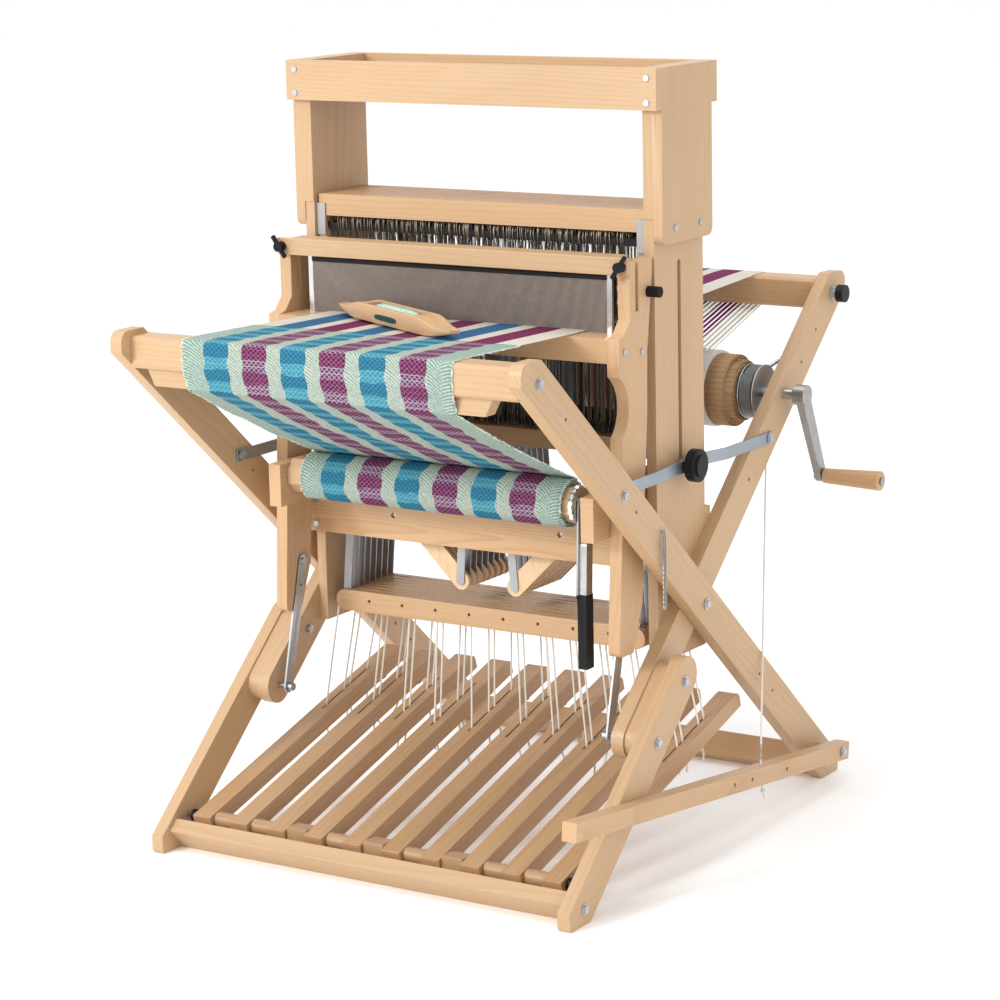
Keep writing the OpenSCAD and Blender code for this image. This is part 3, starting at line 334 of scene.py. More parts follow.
def clothBuild(s):
    # u runs across the cloth and v along it: lozenges in the coloured stripes, slanting strokes between them
    u, v = weave(s)
    wander = noise(s, vector(s, u, v, 0.0), 55.0) - 0.5
    wave = (v * (wholeTurn / stripe["block"]) + wander * 1.5).sine()
    inside, plum, middle = stripeMasks(s, u + wander * 0.003, wave * 0.0019)
    turn, slant = math.pi / stripe["diamond"], stripe["slant"]
    diagonalA = ((u + v * slant) * turn + wander).sine().absolute()
    diagonalB = ((u - v * slant) * turn - wander).sine().absolute()
    rung = (v * turn).sine().absolute()
    speck = noise(s, vector(s, u, v * 0.8, 0.0), 950.0, 2.0, 0.7)
    light = (wave * -3.0 + 0.3).clamped()
    net = diagonalA.least(diagonalB).least(rung + 0.1).below(speck * 0.34 + light * 0.13 - 0.03)
    blueShare = (light * 0.55 + (speck - 0.5) * 1.3 + 0.12).clamped()
    plumShare = (light * 0.22 + (speck - 0.5) * 0.5).clamped()
    ground = s.mix(plum, s.mix(blueShare, stripe["blue"], stripe["brightBlue"]),
                   s.mix(plumShare, stripe["plum"], stripe["palePlum"]))
    netColour = s.mix(plum, stripe["netOnBlue"], stripe["netOnPlum"])
    figured = s.mix(net * (light * 0.30 + 0.62), ground, netColour)
    reach = middle + wander * 0.004
    strokes = ((v + reach * reach * 11.0) * (wholeTurn / stripe["braid"]) + (speck - 0.5) * 3.5).sine()
    patch = noise(s, vector(s, u * 1.6, v, 0.0), 210.0, 2.0, 0.6)
    border = (u - 0.5 * stripe["width"]).absolute() * -1.0 + stripe["border"]
    mintShare = border.below(0.0) * 0.40 + strokes * 0.85 + (patch - 0.5) * 4.0 + 0.12
    band = s.mix(mintShare.clamped(), stripe["cream"], stripe["mint"])
    # painted shade: the narrow lines between the strokes take the dark gap colour
    gap = ((strokes.absolute() * -1.0 + 0.30 + (speck - 0.5) * 0.9) * 3.0).clamped()
    colour = s.mix(inside, s.mix(gap * 0.75, band, stripe["gap"]), figured)
    yarns = (u * (wholeTurn / stripe["warpYarn"])).sine() * (v * (wholeTurn / stripe["weftYarn"])).sine()
    height = yarns * 0.35 + net * 0.5 + strokes * (1.0 - inside) * 0.6 + speck * 0.5
    # painted shade: a near-black share over the whole cloth, deeper in a checker along the yarns
    return {"Base Color": s.mix(0.12 + yarns * 0.10, colour, stripe["weaveShade"]), "Roughness": 0.88,
            "Specular IOR Level": 0.12, "Normal": bump(s, height, 0.85, 0.0012)}


def yarnBuild(s):
    # plain warp: cream, blue and plum threads; u is the place of a thread across the cloth
    x, y, z = parts(s, spot(s))
    inside, plum, middle = stripeMasks(s, weave(s)[0], 0.0)
    twist = noise(s, vector(s, x * 3.0, y * 0.6, z * 0.6), 900.0)
    colour = s.mix(plum, (0.016, 0.155, 0.33), (0.20, 0.003, 0.092))
    colour = s.mix(inside, (0.74, 0.71, 0.63), colour)
    colour = s.mix(twist * 0.10, colour, (0.9, 0.88, 0.86))
    return {"Base Color": colour, "Roughness": 0.82, "Specular IOR Level": 0.15,
            "Normal": bump(s, twist, 0.4, 0.0004)}


def fleckedBuild(light, dark, scale):
    # yarn of two colours, parted by noise with steep edges
    def build(s):
        fleck = noise(s, spot(s), scale, 1.0)
        colour = s.mix(((fleck - 0.5) * 8.0).clamped(), light, dark)
        return {"Base Color": colour, "Roughness": 0.9, "Specular IOR Level": 0.15,
                "Normal": bump(s, fleck, 0.3, 0.0004)}
    return build


def woundBuild(s):
    # the warp wound on its beam, thread beside thread, drawn in to a share of the cloth's width
    x, y, z = parts(s, spot(s))
    inside, plum, middle = stripeMasks(s, x * (1 / stripe["woundShare"]) - stripe["left"], 0.0)
    yarns = (x * (wholeTurn / stripe["woundYarn"])).sine()
    patch = noise(s, spot(s), 60.0)
    colour = s.mix(plum, (0.035, 0.20, 0.38), (0.19, 0.010, 0.11))
    colour = s.mix(inside, (0.78, 0.76, 0.69), colour)
    # painted shade: the grey-brown share deepens in the troughs between the wound threads
    colour = s.mix((0.3 - yarns * 0.3) * 0.6, colour, (0.30, 0.28, 0.25))
    return {"Base Color": colour, "Roughness": patch * 0.2 + 0.72, "Normal": bump(s, yarns, 0.5, 0.0005)}


board = {"light": (0.46, 0.29, 0.15), "dark": (0.24, 0.135, 0.065), "flute": 0.0085}


def cardBuild(s):
    # brown board with the flutes just showing through along the roll
    x, y, z = parts(s, spot(s))
    flute = (weave(s)[0] * (wholeTurn / board["flute"])).sine()
    fibre = noise(s, vector(s, x * 0.7, y, z), 350.0, 3.0)
    share = (fibre * 0.9 + flute * 0.16 - 0.2).clamped()
    return {"Base Color": s.mix(share, board["light"], board["dark"]), "Roughness": 0.85,
            "Normal": bump(s, flute * 0.5 + fibre * 0.3, 0.4, 0.0006)}


def cordBuild(s):
    # braided cotton: two crossing waves along the cord under a fine fuzz
    x, y, z = parts(s, spot(s))
    braid = ((z * 2600.0).sine() + (z * 2600.0 + x * 4000.0).sine()) * 0.5
    fuzz = noise(s, spot(s), 700.0)
    share = (fuzz * 0.7 + braid * 0.15).clamped()
    return {"Base Color": s.mix(share, (0.86, 0.84, 0.78), (0.55, 0.53, 0.47)), "Roughness": 0.8,
            "Normal": bump(s, braid + fuzz, 0.35, 0.0004)}


def cableBuild(s):
    # twisted wire: a slanting wave of fine strands
    x, y, z = parts(s, spot(s))
    strands = ((x * 2.0 + y * 0.7 + z * 0.7) * 5200.0).sine()
    return {"Base Color": s.mix(strands * 0.3 + 0.4, (0.40, 0.41, 0.42), (0.13, 0.14, 0.15)),
            "Metallic": 0.9, "Roughness": 0.38, "Normal": bump(s, strands, 0.5, 0.0004)}


def floorBuild(s):
    # near-white paper with a faint cloud; the glow makes its far edge as light as the background
    soft = noise(s, spot(s), 1.2)
    return {"Base Color": s.mix(soft * 0.25, (0.95, 0.95, 0.95), (0.93, 0.93, 0.93)), "Roughness": 0.8,
            "Specular IOR Level": 0.0, "Emission Color": (1.0, 1.0, 1.0, 1.0), "Emission Strength": 0.10}


zinc = material("zinc_plate", metalBuild((0.60, 0.62, 0.65), (0.36, 0.385, 0.42), 0.28, 60.0, 2.0))
strapZinc = material("zinc_strap", metalBuild((0.44, 0.49, 0.53), (0.26, 0.30, 0.345), 0.36, 22.0, 0.15))
aluminium = material("aluminium_strap", metalBuild((0.48, 0.48, 0.49), (0.29, 0.29, 0.30), 0.40, 30.0, 6.0))
castSteel = material("cast_steel", metalBuild((0.52, 0.51, 0.49), (0.26, 0.26, 0.255), 0.32, 90.0, 2.0))
chrome = material("bright_steel", metalBuild((0.82, 0.82, 0.82), (0.6, 0.6, 0.6), 0.16, 50.0, 2.0))
wire = material("heddle_wire", metalBuild((0.40, 0.34, 0.26), (0.14, 0.115, 0.09), 0.34, 300.0, 2.0))
dentSteel = material("reed_dents", metalBuild((0.47, 0.40, 0.36), (0.30, 0.25, 0.22), 0.45, 120.0, 2.0))
black = material("black_plastic", plasticBuild((0.006, 0.006, 0.0065), 0.34))
barBlack = material("black_bar", plasticBuild((0.012, 0.010, 0.009), 0.40))
rubber = material("black_rubber", plasticBuild((0.007, 0.007, 0.007), 0.62))
whiteStrip = material("white_strip", plasticBuild((0.36, 0.36, 0.355), 0.45))
birch = material("birch_plywood", plyBuild)
cloth = material("handwoven_cloth", clothBuild)
yarn = material("warp_yarn", yarnBuild)
fringe = material("selvedge_yarn", fleckedBuild((0.80, 0.79, 0.70), (0.28, 0.60, 0.52), 420.0))
weft = material("bobbin_yarn", fleckedBuild((0.42, 0.60, 0.53), (0.24, 0.46, 0.40), 300.0))
slotShade = material("slot_shade", plasticBuild((0.012, 0.045, 0.036), 0.6))
wound = material("wound_warp", woundBuild)
card = material("corrugated_card", cardBuild)
cordWhite = material("white_cord", cordBuild)
cable = material("steel_cable", cableBuild)
print("finishes")

# mesh makers


def unit(v):
    # each vector divided by its length
    return v / np.linalg.norm(v, axis=-1, keepdims=True)


def spread(*values):
    # grids of x, y and z, or of u and v, stretched to one size and put together as points
    return np.stack(np.broadcast_arrays(*values), -1)


def runOf(path):
    # how far along the path each of its points lies
    return np.r_[0, np.cumsum(np.linalg.norm(np.diff(path, axis=0), axis=1))]


def gridFaces(rows, columns, closeRows=False, closeColumns=False):
    # quads of a rows by columns grid of points
    i = np.arange(rows if closeRows else rows - 1)[:, None]
    j = np.arange(columns if closeColumns else columns - 1)[None, :]
    a, b = (i + 1) % rows, (j + 1) % columns
    quads = np.stack([i * columns + j, a * columns + j, a * columns + b, i * columns + b], -1)
    return quads.reshape(-1, 4)


def tubes(paths, radius, sides, reference, closed=False):
    # circles carried along paths[k, n]; each circle stands square to its path, turned from the reference line
    paths = np.asarray(paths, float)
    if closed:
        tangent = np.roll(paths, -1, 1) - np.roll(paths, 1, 1)
    else:
        tangent = np.gradient(paths, axis=1)
    tangent = unit(tangent)
    first = unit(np.cross(tangent, np.asarray(reference, float)))
    second = np.cross(tangent, first)
    turn = np.arange(sides) * wholeTurn / sides
    ring = first[:, :, None] * np.cos(turn)[:, None] + second[:, :, None] * np.sin(turn)[:, None]
    count, steps = paths.shape[:2]
    reach = np.broadcast_to(np.asarray(radius, float), (count, steps))
    points = paths[:, :, None] + ring * reach[:, :, None, None]
    one = gridFaces(steps, sides, closed, True)
    start = np.arange(count)[:, None, None] * steps * sides
    faces = (one[None] + start).reshape(-1, 4).tolist()
    if not closed:
        cap = np.arange(sides)
        low = (cap[None] + start[:, 0]).tolist()
        high = (cap[None, ::-1] + start[:, 0] + (steps - 1) * sides).tolist()
        faces += low + high
    return points.reshape(-1, 3), faces


def boxes(low, high):
    # closed boxes from low[k] to high[k]
    low, high = np.asarray(low, float), np.asarray(high, float)
    pick = np.array([[i, j, k] for i in (0, 1) for j in (0, 1) for k in (0, 1)])
    points = np.where(pick[None] == 1, high[:, None], low[:, None])
    quads = np.array([[0, 1, 3, 2], [4, 6, 7, 5], [0, 4, 5, 1], [2, 3, 7, 6], [0, 2, 6, 4], [1, 5, 7, 3]])
    faces = (quads[None] + np.arange(len(low))[:, None, None] * 8).reshape(-1, 4)
    return points.reshape(-1, 3), faces.tolist()


def together(*parts):
    # several points-and-faces pairs as one
    points, faces, count = [], [], 0
    for somePoints, someFaces in parts:
        points.append(somePoints)
        faces += [[k + count for k in face] for face in someFaces]
        count += len(somePoints)
    return np.concatenate(points), faces


def finishMesh(piece, sharp=35.0):
    # smooth shading, with edges over the sharp angle kept hard
    mesh = piece.data
    mesh.polygons.foreach_set("use_smooth", np.ones(len(mesh.polygons), bool))
    mesh.set_sharp_from_angle(angle=math.radians(sharp))


def addBevel(piece, width):
    # every edge sharper than 40 degrees is rounded with two steps
    cut = piece.modifiers.new("softEdge", "BEVEL")
    cut.width, cut.segments, cut.limit_method = width, 2, "ANGLE"
    cut.angle_limit = math.radians(40)


def thicken(piece, thick):
    # the sheet's own surface is the middle of its thickness
    skin = piece.modifiers.new("thickness", "SOLIDIFY")
    skin.thickness, skin.offset = thick, 0.0


def addPiece(name, shape, finish, body=None, uv=None, outward=True, bevel=0.0, sharp=35.0):
    # one mesh object from points and faces; uv gives the weave coordinates of each point
    mesh = bpy.data.meshes.new(name)
    mesh.from_pydata(shape[0].tolist(), [], [list(f) for f in shape[1]])
    if uv is not None:
        layer = mesh.uv_layers.new(name="weave")
        corners = np.empty(len(mesh.loops), int)
        mesh.loops.foreach_get("vertex_index", corners)
        layer.data.foreach_set("uv", uv[corners].astype(np.float32).ravel())
    mesh.materials.append(finish)
    if outward:
        work = bmesh.new()
        work.from_mesh(mesh)
        bmesh.ops.recalc_face_normals(work, faces=work.faces[:])
        work.to_mesh(mesh)
        work.free()
    piece = bpy.data.objects.new(name, mesh)
    bpy.context.collection.objects.link(piece)
    finishMesh(piece, sharp)
    if bevel:
        addBevel(piece, bevel)
    if body:
        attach(piece, body)
    return piece


def dress(node, finishes, choose=None, bevel=0.0011, drop=None):
    # a copy of the node's mesh with merged points and soft edges, in the node's place;
    # choose gives each face its finish, and faces for which drop holds are left out
    source = frame["nodes"][node]
    mesh = source.data.copy()
    mesh.name = node + "_made"
    mesh.materials.clear()
    work = bmesh.new()
    work.from_mesh(mesh)
    bmesh.ops.remove_doubles(work, verts=work.verts[:], dist=0.00002)
    if drop:
        gone = [f for f in work.faces if drop(f.calc_center_median())]
        bmesh.ops.delete(work, geom=gone, context="FACES")
    if choose:
        centres = np.array([face.calc_center_median() for face in work.faces])
        for face, kind in zip(work.faces, choose(centres)):
            face.material_index = int(kind)
    bmesh.ops.dissolve_limit(work, angle_limit=math.radians(1.0), verts=work.verts[:], edges=work.edges[:],
                             delimit={"MATERIAL"})
    work.to_mesh(mesh)
    work.free()
    for finish in finishes:
        mesh.materials.append(finish)
    piece = bpy.data.objects.new(node + "_made", mesh)
    bpy.context.collection.objects.link(piece)
    finishMesh(piece)
    addBevel(piece, bevel)
    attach(piece, bodyOf[node])
    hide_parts(node)
    return piece


# cords

warpAxis = (0.272, 0.600)  # y and z of the warp beam, its drum and its roll
clothAxis = (-0.165, 0.512)
loom = {"lammLow": 0.288, "treadleRodY": -0.345, "treadleRodZ": 0.042, "treadleSlope": math.radians(15.7),
        "treadlePitch": 0.0645, "treadleThick": 0.024, "shaftPitch": 0.0155, "cordRadius": 0.0014,
        "holePitch": 0.058, "declared": 37, "treadleDeep": 0.028}
cordUp = (1.0, 0.0, 0.013)  # no cord runs this way, so a tube's circles can be turned from it
shaftY = np.array([(k - 3.5) * loom["shaftPitch"] for k in range(8)])
random = np.random.default_rng(7)


def tubePiece(name, path, body=None):
    # a smooth tube along the path of a cord
    return addPiece(name, tubes(path[None], loom["cordRadius"], 10, cordUp), cordWhite, body)


def bowed(start, end, steps, sag=0.0):
    # points from start to end, eased away to the rear by sag in the middle
    t = np.linspace(0, 1, steps)[:, None]
    line = np.asarray(start) * (1 - t) + np.asarray(end) * t
    line[:, 1:2] += sag * np.sin(math.pi * t)
    return line


def tieUpCords():
    # from a lamm down through the slit of a treadle, then a loose tail; treadles take the lamms two by two
    made = []
    slope = loom["treadleSlope"]
    overTop = (loom["treadleThick"] / 2 + 0.001) / math.cos(slope)
    for t in range(1, 11):
        x = (t - 5.5) * loom["treadlePitch"]
        hole = (round(x * 0.8 / loom["holePitch"] - 0.5) + 0.5) * loom["holePitch"]
        for k in range(8):
            if (k + t) % 4 >= 2:
                continue
            y = shaftY[k]
            rise = (y - loom["treadleRodY"]) * math.tan(slope) + overTop
            top = np.array([hole, y, loom["lammLow"] + 0.006])
            slit = np.array([x, y, loom["treadleRodZ"] + rise])
            under = slit - [0.0, 0.0, loom["treadleDeep"]]
            loose = [random.uniform(-0.010, 0.010), random.uniform(-0.012, 0.012),
                     -random.uniform(0.016, 0.042)]
            tail = bowed(under, under + loose, 8, random.uniform(-0.008, 0.008))
            path = np.concatenate([bowed(top, slit, 10), bowed(slit, under, 4)[1:], tail[1:]])
            made.append((path, "tie_cord_%d_%d" % (t, k + 1), "lamms_odd" if k % 2 == 0 else "lamms_even"))
    made.sort(key=lambda one: -runOf(one[0])[-1])
    for number, (path, name, body) in enumerate(made):
        piece = tubePiece(name, path, body)


tieUpCords()

brake = {"drum": warpAxis, "drumReach": 0.0342, "drumX": 0.2629, "pedalX": 0.3568,
         "pedalPivot": (0.340, 0.052), "cordAlong": 0.243, "pedalSlope": math.radians(6.9), "halfThick": 0.013,
         "knotSize": 0.0026, "knotDrop": (0.0, 0.006, -0.040), "tail": (0.002, 0.002, -0.014), "overlap": 0.055}


def brakeCord(b):
    # a taut line from the rear of the drum to the pedal, in three stretches, then a knot under the pedal
    c, d = math.cos(b["pedalSlope"]), math.sin(b["pedalSlope"])
    hole = np.array([b["pedalX"], b["pedalPivot"][0] - b["cordAlong"] * c + b["halfThick"] * d,
                     b["pedalPivot"][1] + b["cordAlong"] * d + b["halfThick"] * c])
    gap = np.array(b["drum"]) - hole[1:]
    reach = np.linalg.norm(gap)
    angle = math.atan2(gap[1], gap[0]) - math.asin(b["drumReach"] / reach)
    run = math.sqrt(reach ** 2 - b["drumReach"] ** 2)
    high = np.array([b["drumX"], hole[1] + run * math.cos(angle), hole[2] + run * math.sin(angle)])
    middle = (high + hole) / 2
    knotAt = hole + np.array(b["knotDrop"])
    stretchedCord("brake_cord_upper", high, middle)
    stretchedCord("brake_cord_lower", middle, hole)
    knot = addKnot("brake_knot", knotAt, b["knotSize"], "brake_pedal")
    path = np.concatenate([bowed(hole + (high - hole) * b["overlap"], hole, 5), bowed(hole, knotAt, 8)[1:],
                           bowed(knotAt, knotAt + np.array(b["tail"]), 4)[1:]])
    end = tubePiece("brake_cord_end", path, "brake_pedal")
    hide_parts("tie_up_cords")


def stretchedCord(name, start, end):
    # one straight stretch from start to end, fixed in place
    path = bowed(start, end, 24)
    piece = tubePiece(name, path)
    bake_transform(piece)


def addKnot(name, at, size, body):
    # a trefoil: a closed curve that winds twice round while it waves three times
    t = np.linspace(0, wholeTurn, 72, endpoint=False)
    curve = spread(np.sin(t) + 2 * np.sin(2 * t), np.cos(t) - 2 * np.cos(2 * t), -1.2 * np.sin(3 * t))
    shape = tubes((np.asarray(at) + curve * size / 3)[None], loom["cordRadius"], 8, (0.35, 0.2, 0.92), True)
    return addPiece(name, shape, cordWhite, body)


brakeCord(brake)
print("cords")

# the wooden frame and its fittings: each chooser gives the number of the finish for every face centre

knobs = {"x": 0.3159, "z": 0.70}
treadleRod = {"radius": 0.0055, "collarX": 0.3050}
beam = {"woodX": 0.2502, "woodR": 0.0208, "crankX": 0.31}
lockScrewX = 0.3043
rubberParts = {"sleeveX": 0.2876, "low": 0.785, "high": 0.805, "sleeveY": -0.095, "wingY": -0.1401}
clothRod = {"x": 0.2189, "radius": 0.0065}
lever = {"gripZ": 0.3901, "castX": 0.2289}
reedEndX = 0.2419
shaft = {"bars": (0.596, 0.855), "half": 0.0051, "barX": 0.2571, "stileX": 0.2569,
         "low": 0.5851, "high": 0.8699}
ballChain = {"x": 0.3291, "low": 0.360, "high": 0.4755, "y": -0.1252, "half": 0.004}


def byKnobs(c):
    return ((np.abs(c[:, 0]) > knobs["x"]) & (c[:, 2] > knobs["z"])).astype(int)


def byTreadleRod(c):
    out = np.hypot(c[:, 1] - loom["treadleRodY"], c[:, 2] - loom["treadleRodZ"])
    return np.where(out < treadleRod["radius"], 0, np.where(np.abs(c[:, 0]) > treadleRod["collarX"], 2, 1))


def byWarpBeam(c):
    out = np.hypot(c[:, 1] - warpAxis[0], c[:, 2] - warpAxis[1])
    woody = (np.abs(c[:, 0]) < beam["woodX"]) & (out < beam["woodR"])
    return np.where(woody, 0, np.where(c[:, 0] > beam["crankX"], 2, 1))


def byLockKnobs(c):
    return (np.abs(c[:, 0]) < lockScrewX).astype(int)


def byFittings(c):
    r = rubberParts
    level = (c[:, 2] > r["low"]) & (c[:, 2] < r["high"])
    sleeve = (np.abs(c[:, 0]) > r["sleeveX"]) & (c[:, 1] > r["sleeveY"]) & level
    wing = (c[:, 1] < r["wingY"]) & (c[:, 2] > r["high"])
    return (sleeve | wing).astype(int)


def byClothBeam(c):
    out = np.hypot(c[:, 1] - clothAxis[0], c[:, 2] - clothAxis[1])
    return ((c[:, 0] > clothRod["x"]) | (out < clothRod["radius"])).astype(int)


def byLever(c):
    return np.where(c[:, 2] < lever["gripZ"], 2, np.where(c[:, 0] > lever["castX"], 1, 0))


def byReed(c):
    return (np.abs(c[:, 0]) > reedEndX).astype(int)


def byShaft(c):
    nearBar = np.min([np.abs(c[:, 2] - z) for z in shaft["bars"]], axis=0) < shaft["half"]
    bars = (np.abs(c[:, 0]) < shaft["barX"]) & nearBar
    stiles = (np.abs(c[:, 0]) > shaft["stileX"]) & (c[:, 2] > shaft["low"]) & (c[:, 2] < shaft["high"])
    return np.where(bars, 2, np.where(stiles, 1, 0))


def isChain(c):
    b = ballChain
    return c.x > b["x"] and b["low"] < c.z < b["high"] and abs(c.y - b["y"]) < b["half"]


dress("side_panels", [wood("pale", "z")])
dress("upper_side_boards", [wood("pale", "z")])
dress("top_tray", [wood("pale", "x")])
dress("apron_boards", [wood("figured", "x")])
dress("cloth_beam_brackets", [wood("warm", "y")])
dress("castle_fasteners", [zinc], bevel=0.0004)
dress("rear_foot_legs", [wood("pale", "frontLeg")], bevel=0.0015)
dress("rear_foot_beam", [wood("warm", "x")])
dress("breast_beam", [wood("pale", "x")])
dress("knee_bar", [wood("pale", "x")])
dress("front_frame_bolts", [zinc], bevel=0.0004, drop=isChain)
dress("brake_pedal", [wood("warm", "pedal")])
dress("back_beam_legs", [wood("pale", "rearLeg")], bevel=0.0015)
dress("front_feet", [wood("pale", "rearLeg")], bevel=0.0015)
dress("back_beam", [wood("warm", "x")])
dress("front_foot_beam", [wood("pale", "x")])
dress("rear_frame_bolts", [zinc, black], byKnobs, bevel=0.0006)
dress("treadle_rod", [zinc, wood("deep", "x"), black], byTreadleRod, bevel=0.0006)
dress("warp_beam", [wood("deep", "x"), zinc, castSteel], byWarpBeam, bevel=0.0007)
dress("crank_handle", [wood("warm", "x")], bevel=0.0014)
dress("lock_knobs", [black, zinc], byLockKnobs, bevel=0.0028)
dress("lock_straps_front", [strapZinc], bevel=0.0004)
dress("lock_straps_rear", [strapZinc], bevel=0.0004)
dress("beater_swords", [wood("warm", "z")], bevel=0.0014)
dress("shuttle_race", [wood("warm", "x")])
dress("reed", [barBlack, chrome], byReed, bevel=0.0005)
dress("beater_cap", [wood("pale", "x")])
dress("beater_fittings", [zinc, rubber], byFittings, bevel=0.0006)
dress("cloth_beam", [wood("pale", "x"), chrome], byClothBeam, bevel=0.0006)
dress("ratchet_lever", [aluminium, castSteel, black], byLever, bevel=0.0006)
for number in range(1, 11):
    dress("treadle_%d" % number, [wood("treadle", "treadle")])
for group in ("odd", "even"):
    dress("shafts_" + group, [wood("warm", "x"), wood("warm", "z"), barBlack], byShaft, bevel=0.0008)
    dress("lamms_" + group, [wood("warm", "x")], bevel=0.0010)
    for side in ("left", "right"):
        dress("jacks_%s_%s" % (group, side), [birch], bevel=0.0005)
        dress("lift_straps_%s_%s" % (group, side), [aluminium], bevel=0.0003)
        dress("pull_straps_%s_%s" % (group, side), [aluminium], bevel=0.0003)
print("frame and fittings")

# cloth and warp

web = {"left": stripe["left"], "right": 0.2103, "thick": 0.0012, "fell": -0.290, "front": -0.407,
       "middle": -0.150, "topZ": 0.7488, "eyeZ": 0.740, "shedY": 0.06225, "rearMeet": 0.150, "rearTurn": 0.407,
       "rollAt": clothAxis, "rollR": 0.034, "rollInner": 0.0268, "layer": 0.00125, "knee": (-0.4414, 0.6790),
       "warpAt": warpAxis, "warpR": 0.0565, "backEdge": (0.4479, 0.7024), "shaftEdge": 0.056}


def touchPoint(centre, radius, point):
    # where a line from the point meets a roll on its upper side
    gap = np.array(centre) - np.array(point)
    reach = np.linalg.norm(gap)
    turn = math.asin(radius / reach) * (1 if gap[0] > 0 else -1)
    angle = math.atan2(gap[1], gap[0]) + turn
    run = math.sqrt(reach ** 2 - radius ** 2)
    return np.array(point) + run * np.array([math.cos(angle), math.sin(angle)])


def evenSteps(points, step, soft=0.0):
    # the same line with even short steps, its corners eased by a bell-shaped mean of width soft
    points = np.asarray(points, float)
    lengths = runOf(points)
    count = max(3, int(round(lengths[-1] / step)) + 1)
    at = np.linspace(0, lengths[-1], count)
    fine = np.stack([np.interp(at, lengths, points[:, k]) for k in range(points.shape[1])], 1)
    if soft:
        half = int(3 * soft / step) + 1
        bell = np.exp(-0.5 * (np.arange(-half, half + 1) * step / soft) ** 2)
        bell /= bell.sum()
        for k in range(fine.shape[1]):
            before = 2 * fine[0, k] - fine[half:0:-1, k]
            after = 2 * fine[-1, k] - fine[-2:-half - 2:-1, k]
            fine[:, k] = np.convolve(np.r_[before, fine[:, k], after], bell, "valid")
    return fine


def squareTo(tangent):
    # each direction in y and z turned by a quarter
    return spread(-tangent[:, 1], tangent[:, 0])


def webSheet(name, path, startV, ripple):
    # a band: the path in y and z carried across the width, with a slow ripple off the flat and uneven edges
    count, columns = len(path), 160
    u = np.linspace(0, 1, columns)[None, :]
    x = web["left"] + (web["right"] - web["left"]) * u
    v = startV + runOf(path)
    normal = squareTo(unit(np.gradient(path, axis=0)))
    ends = np.sin(np.linspace(0, math.pi, count))[:, None]
    wave = ripple * ends * (np.sin(9 * u + 60 * v[:, None]) + 0.6 * np.sin(31 * u - 45 * v[:, None]))
    edge = np.zeros((count, columns))
    edge[:, 0] = 0.0009 * np.sin(v * 900) + 0.0005 * np.sin(v * 2310)
    edge[:, -1] = 0.0009 * np.sin(v * 1130) + 0.0005 * np.sin(v * 1730)
    points = spread(x + edge, path[:, :1] + normal[:, :1] * wave, path[:, 1:] + normal[:, 1:] * wave)
    uv = spread(u * stripe["width"], v[:, None])
    shape = (points.reshape(-1, 3), gridFaces(count, columns).tolist())
    piece = addPiece(name, shape, cloth, uv=uv.reshape(-1, 2), outward=False)
    thicken(piece, web["thick"])
    float(v[-1] - startV)
    return piece, float(v[-1])


def weaveCloth(w):
    # the cloth's side view: from the roll over the knee bar, round the breast beam and on to the fell
    roll = touchPoint(w["rollAt"], w["rollR"] + 0.0004, w["knee"])
    lowerPath = evenSteps([roll, w["knee"]], 0.004)
    t = np.linspace(0, 1, len(lowerPath))
    lowerPath[:, 1] -= 0.004 * np.sin(math.pi * t)
    frontPath = evenSteps([w["knee"], (-0.4420, 0.6797), (-0.4521, 0.7076), (-0.4521, 0.7443),
                           (-0.4475, 0.7490), (w["front"], w["topZ"])], 0.002, 0.002)
    slope = (w["eyeZ"] - w["topZ"]) / (-w["shedY"] - w["front"])
    fellZ = w["topZ"] + slope * (w["fell"] - w["front"])
    upperPath = evenSteps([(w["front"], w["topZ"]), (w["fell"], fellZ)], 0.004)
    lower, at = webSheet("cloth_lower", lowerPath, 0.0, 0.0010)
    front, at = webSheet("cloth_front", frontPath, at, 0.0)
    upper, at = webSheet("cloth_upper", upperPath, at, 0.0)
    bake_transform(lower)
    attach(front, "front_leg_frame")
    middleZ = w["topZ"] + slope * (w["middle"] - w["front"])
    reach = {"start": (0, w["front"], w["topZ"]), "end": (0, w["middle"], middleZ)}
    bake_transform(upper)
    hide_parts("warp_and_cloth")
    fringes(lowerPath, frontPath, upperPath)
    return slope, middleZ, reach


def loopsAlong(path, count, side, seed):
    # little half loops of weft that stand out of a selvedge
    draw = np.random.default_rng(seed)
    at = np.sort(draw.uniform(0, len(path) - 1.001, count))
    base = np.stack([np.interp(at, np.arange(len(path)), path[:, k]) for k in (0, 1)], 1)
    low = np.floor(at).astype(int)
    tangent = unit(path[low + 1] - path[low])
    normal = squareTo(tangent)
    t = np.linspace(0, math.pi, 7)
    out = draw.uniform(0.0014, 0.0040, (count, 1)) * np.sin(t)
    run = draw.uniform(0.0014, 0.0030, (count, 1)) * np.cos(t)
    lift = draw.uniform(-0.0011, 0.0011, (count, 1)) * np.sin(t)
    edgeX = web["left"] if side < 0 else web["right"]
    x = edgeX + side * (out - 0.0006)
    yz = base[:, None] + run[:, :, None] * tangent[:, None] + lift[:, :, None] * normal[:, None]
    return tubes(spread(x, yz[..., 0], yz[..., 1]), 0.00038, 4, (0.15, 0.55, 0.82))


def fringes(lowerPath, frontPath, upperPath):
    # loops along both selvedges of each stretch of cloth, which move as that stretch does
    for name, path, count in (("lower", lowerPath, 210), ("front", frontPath, 80), ("upper", upperPath, 90)):
        shape = together(loopsAlong(path, count, -1, 3), loopsAlong(path, count, 1, 4))
        piece = addPiece("selvedge_" + name, shape, fringe, sharp=80)
        if name == "lower":
            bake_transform(piece)
        elif name == "front":
            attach(piece, "front_leg_frame")
        else:
            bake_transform(piece)


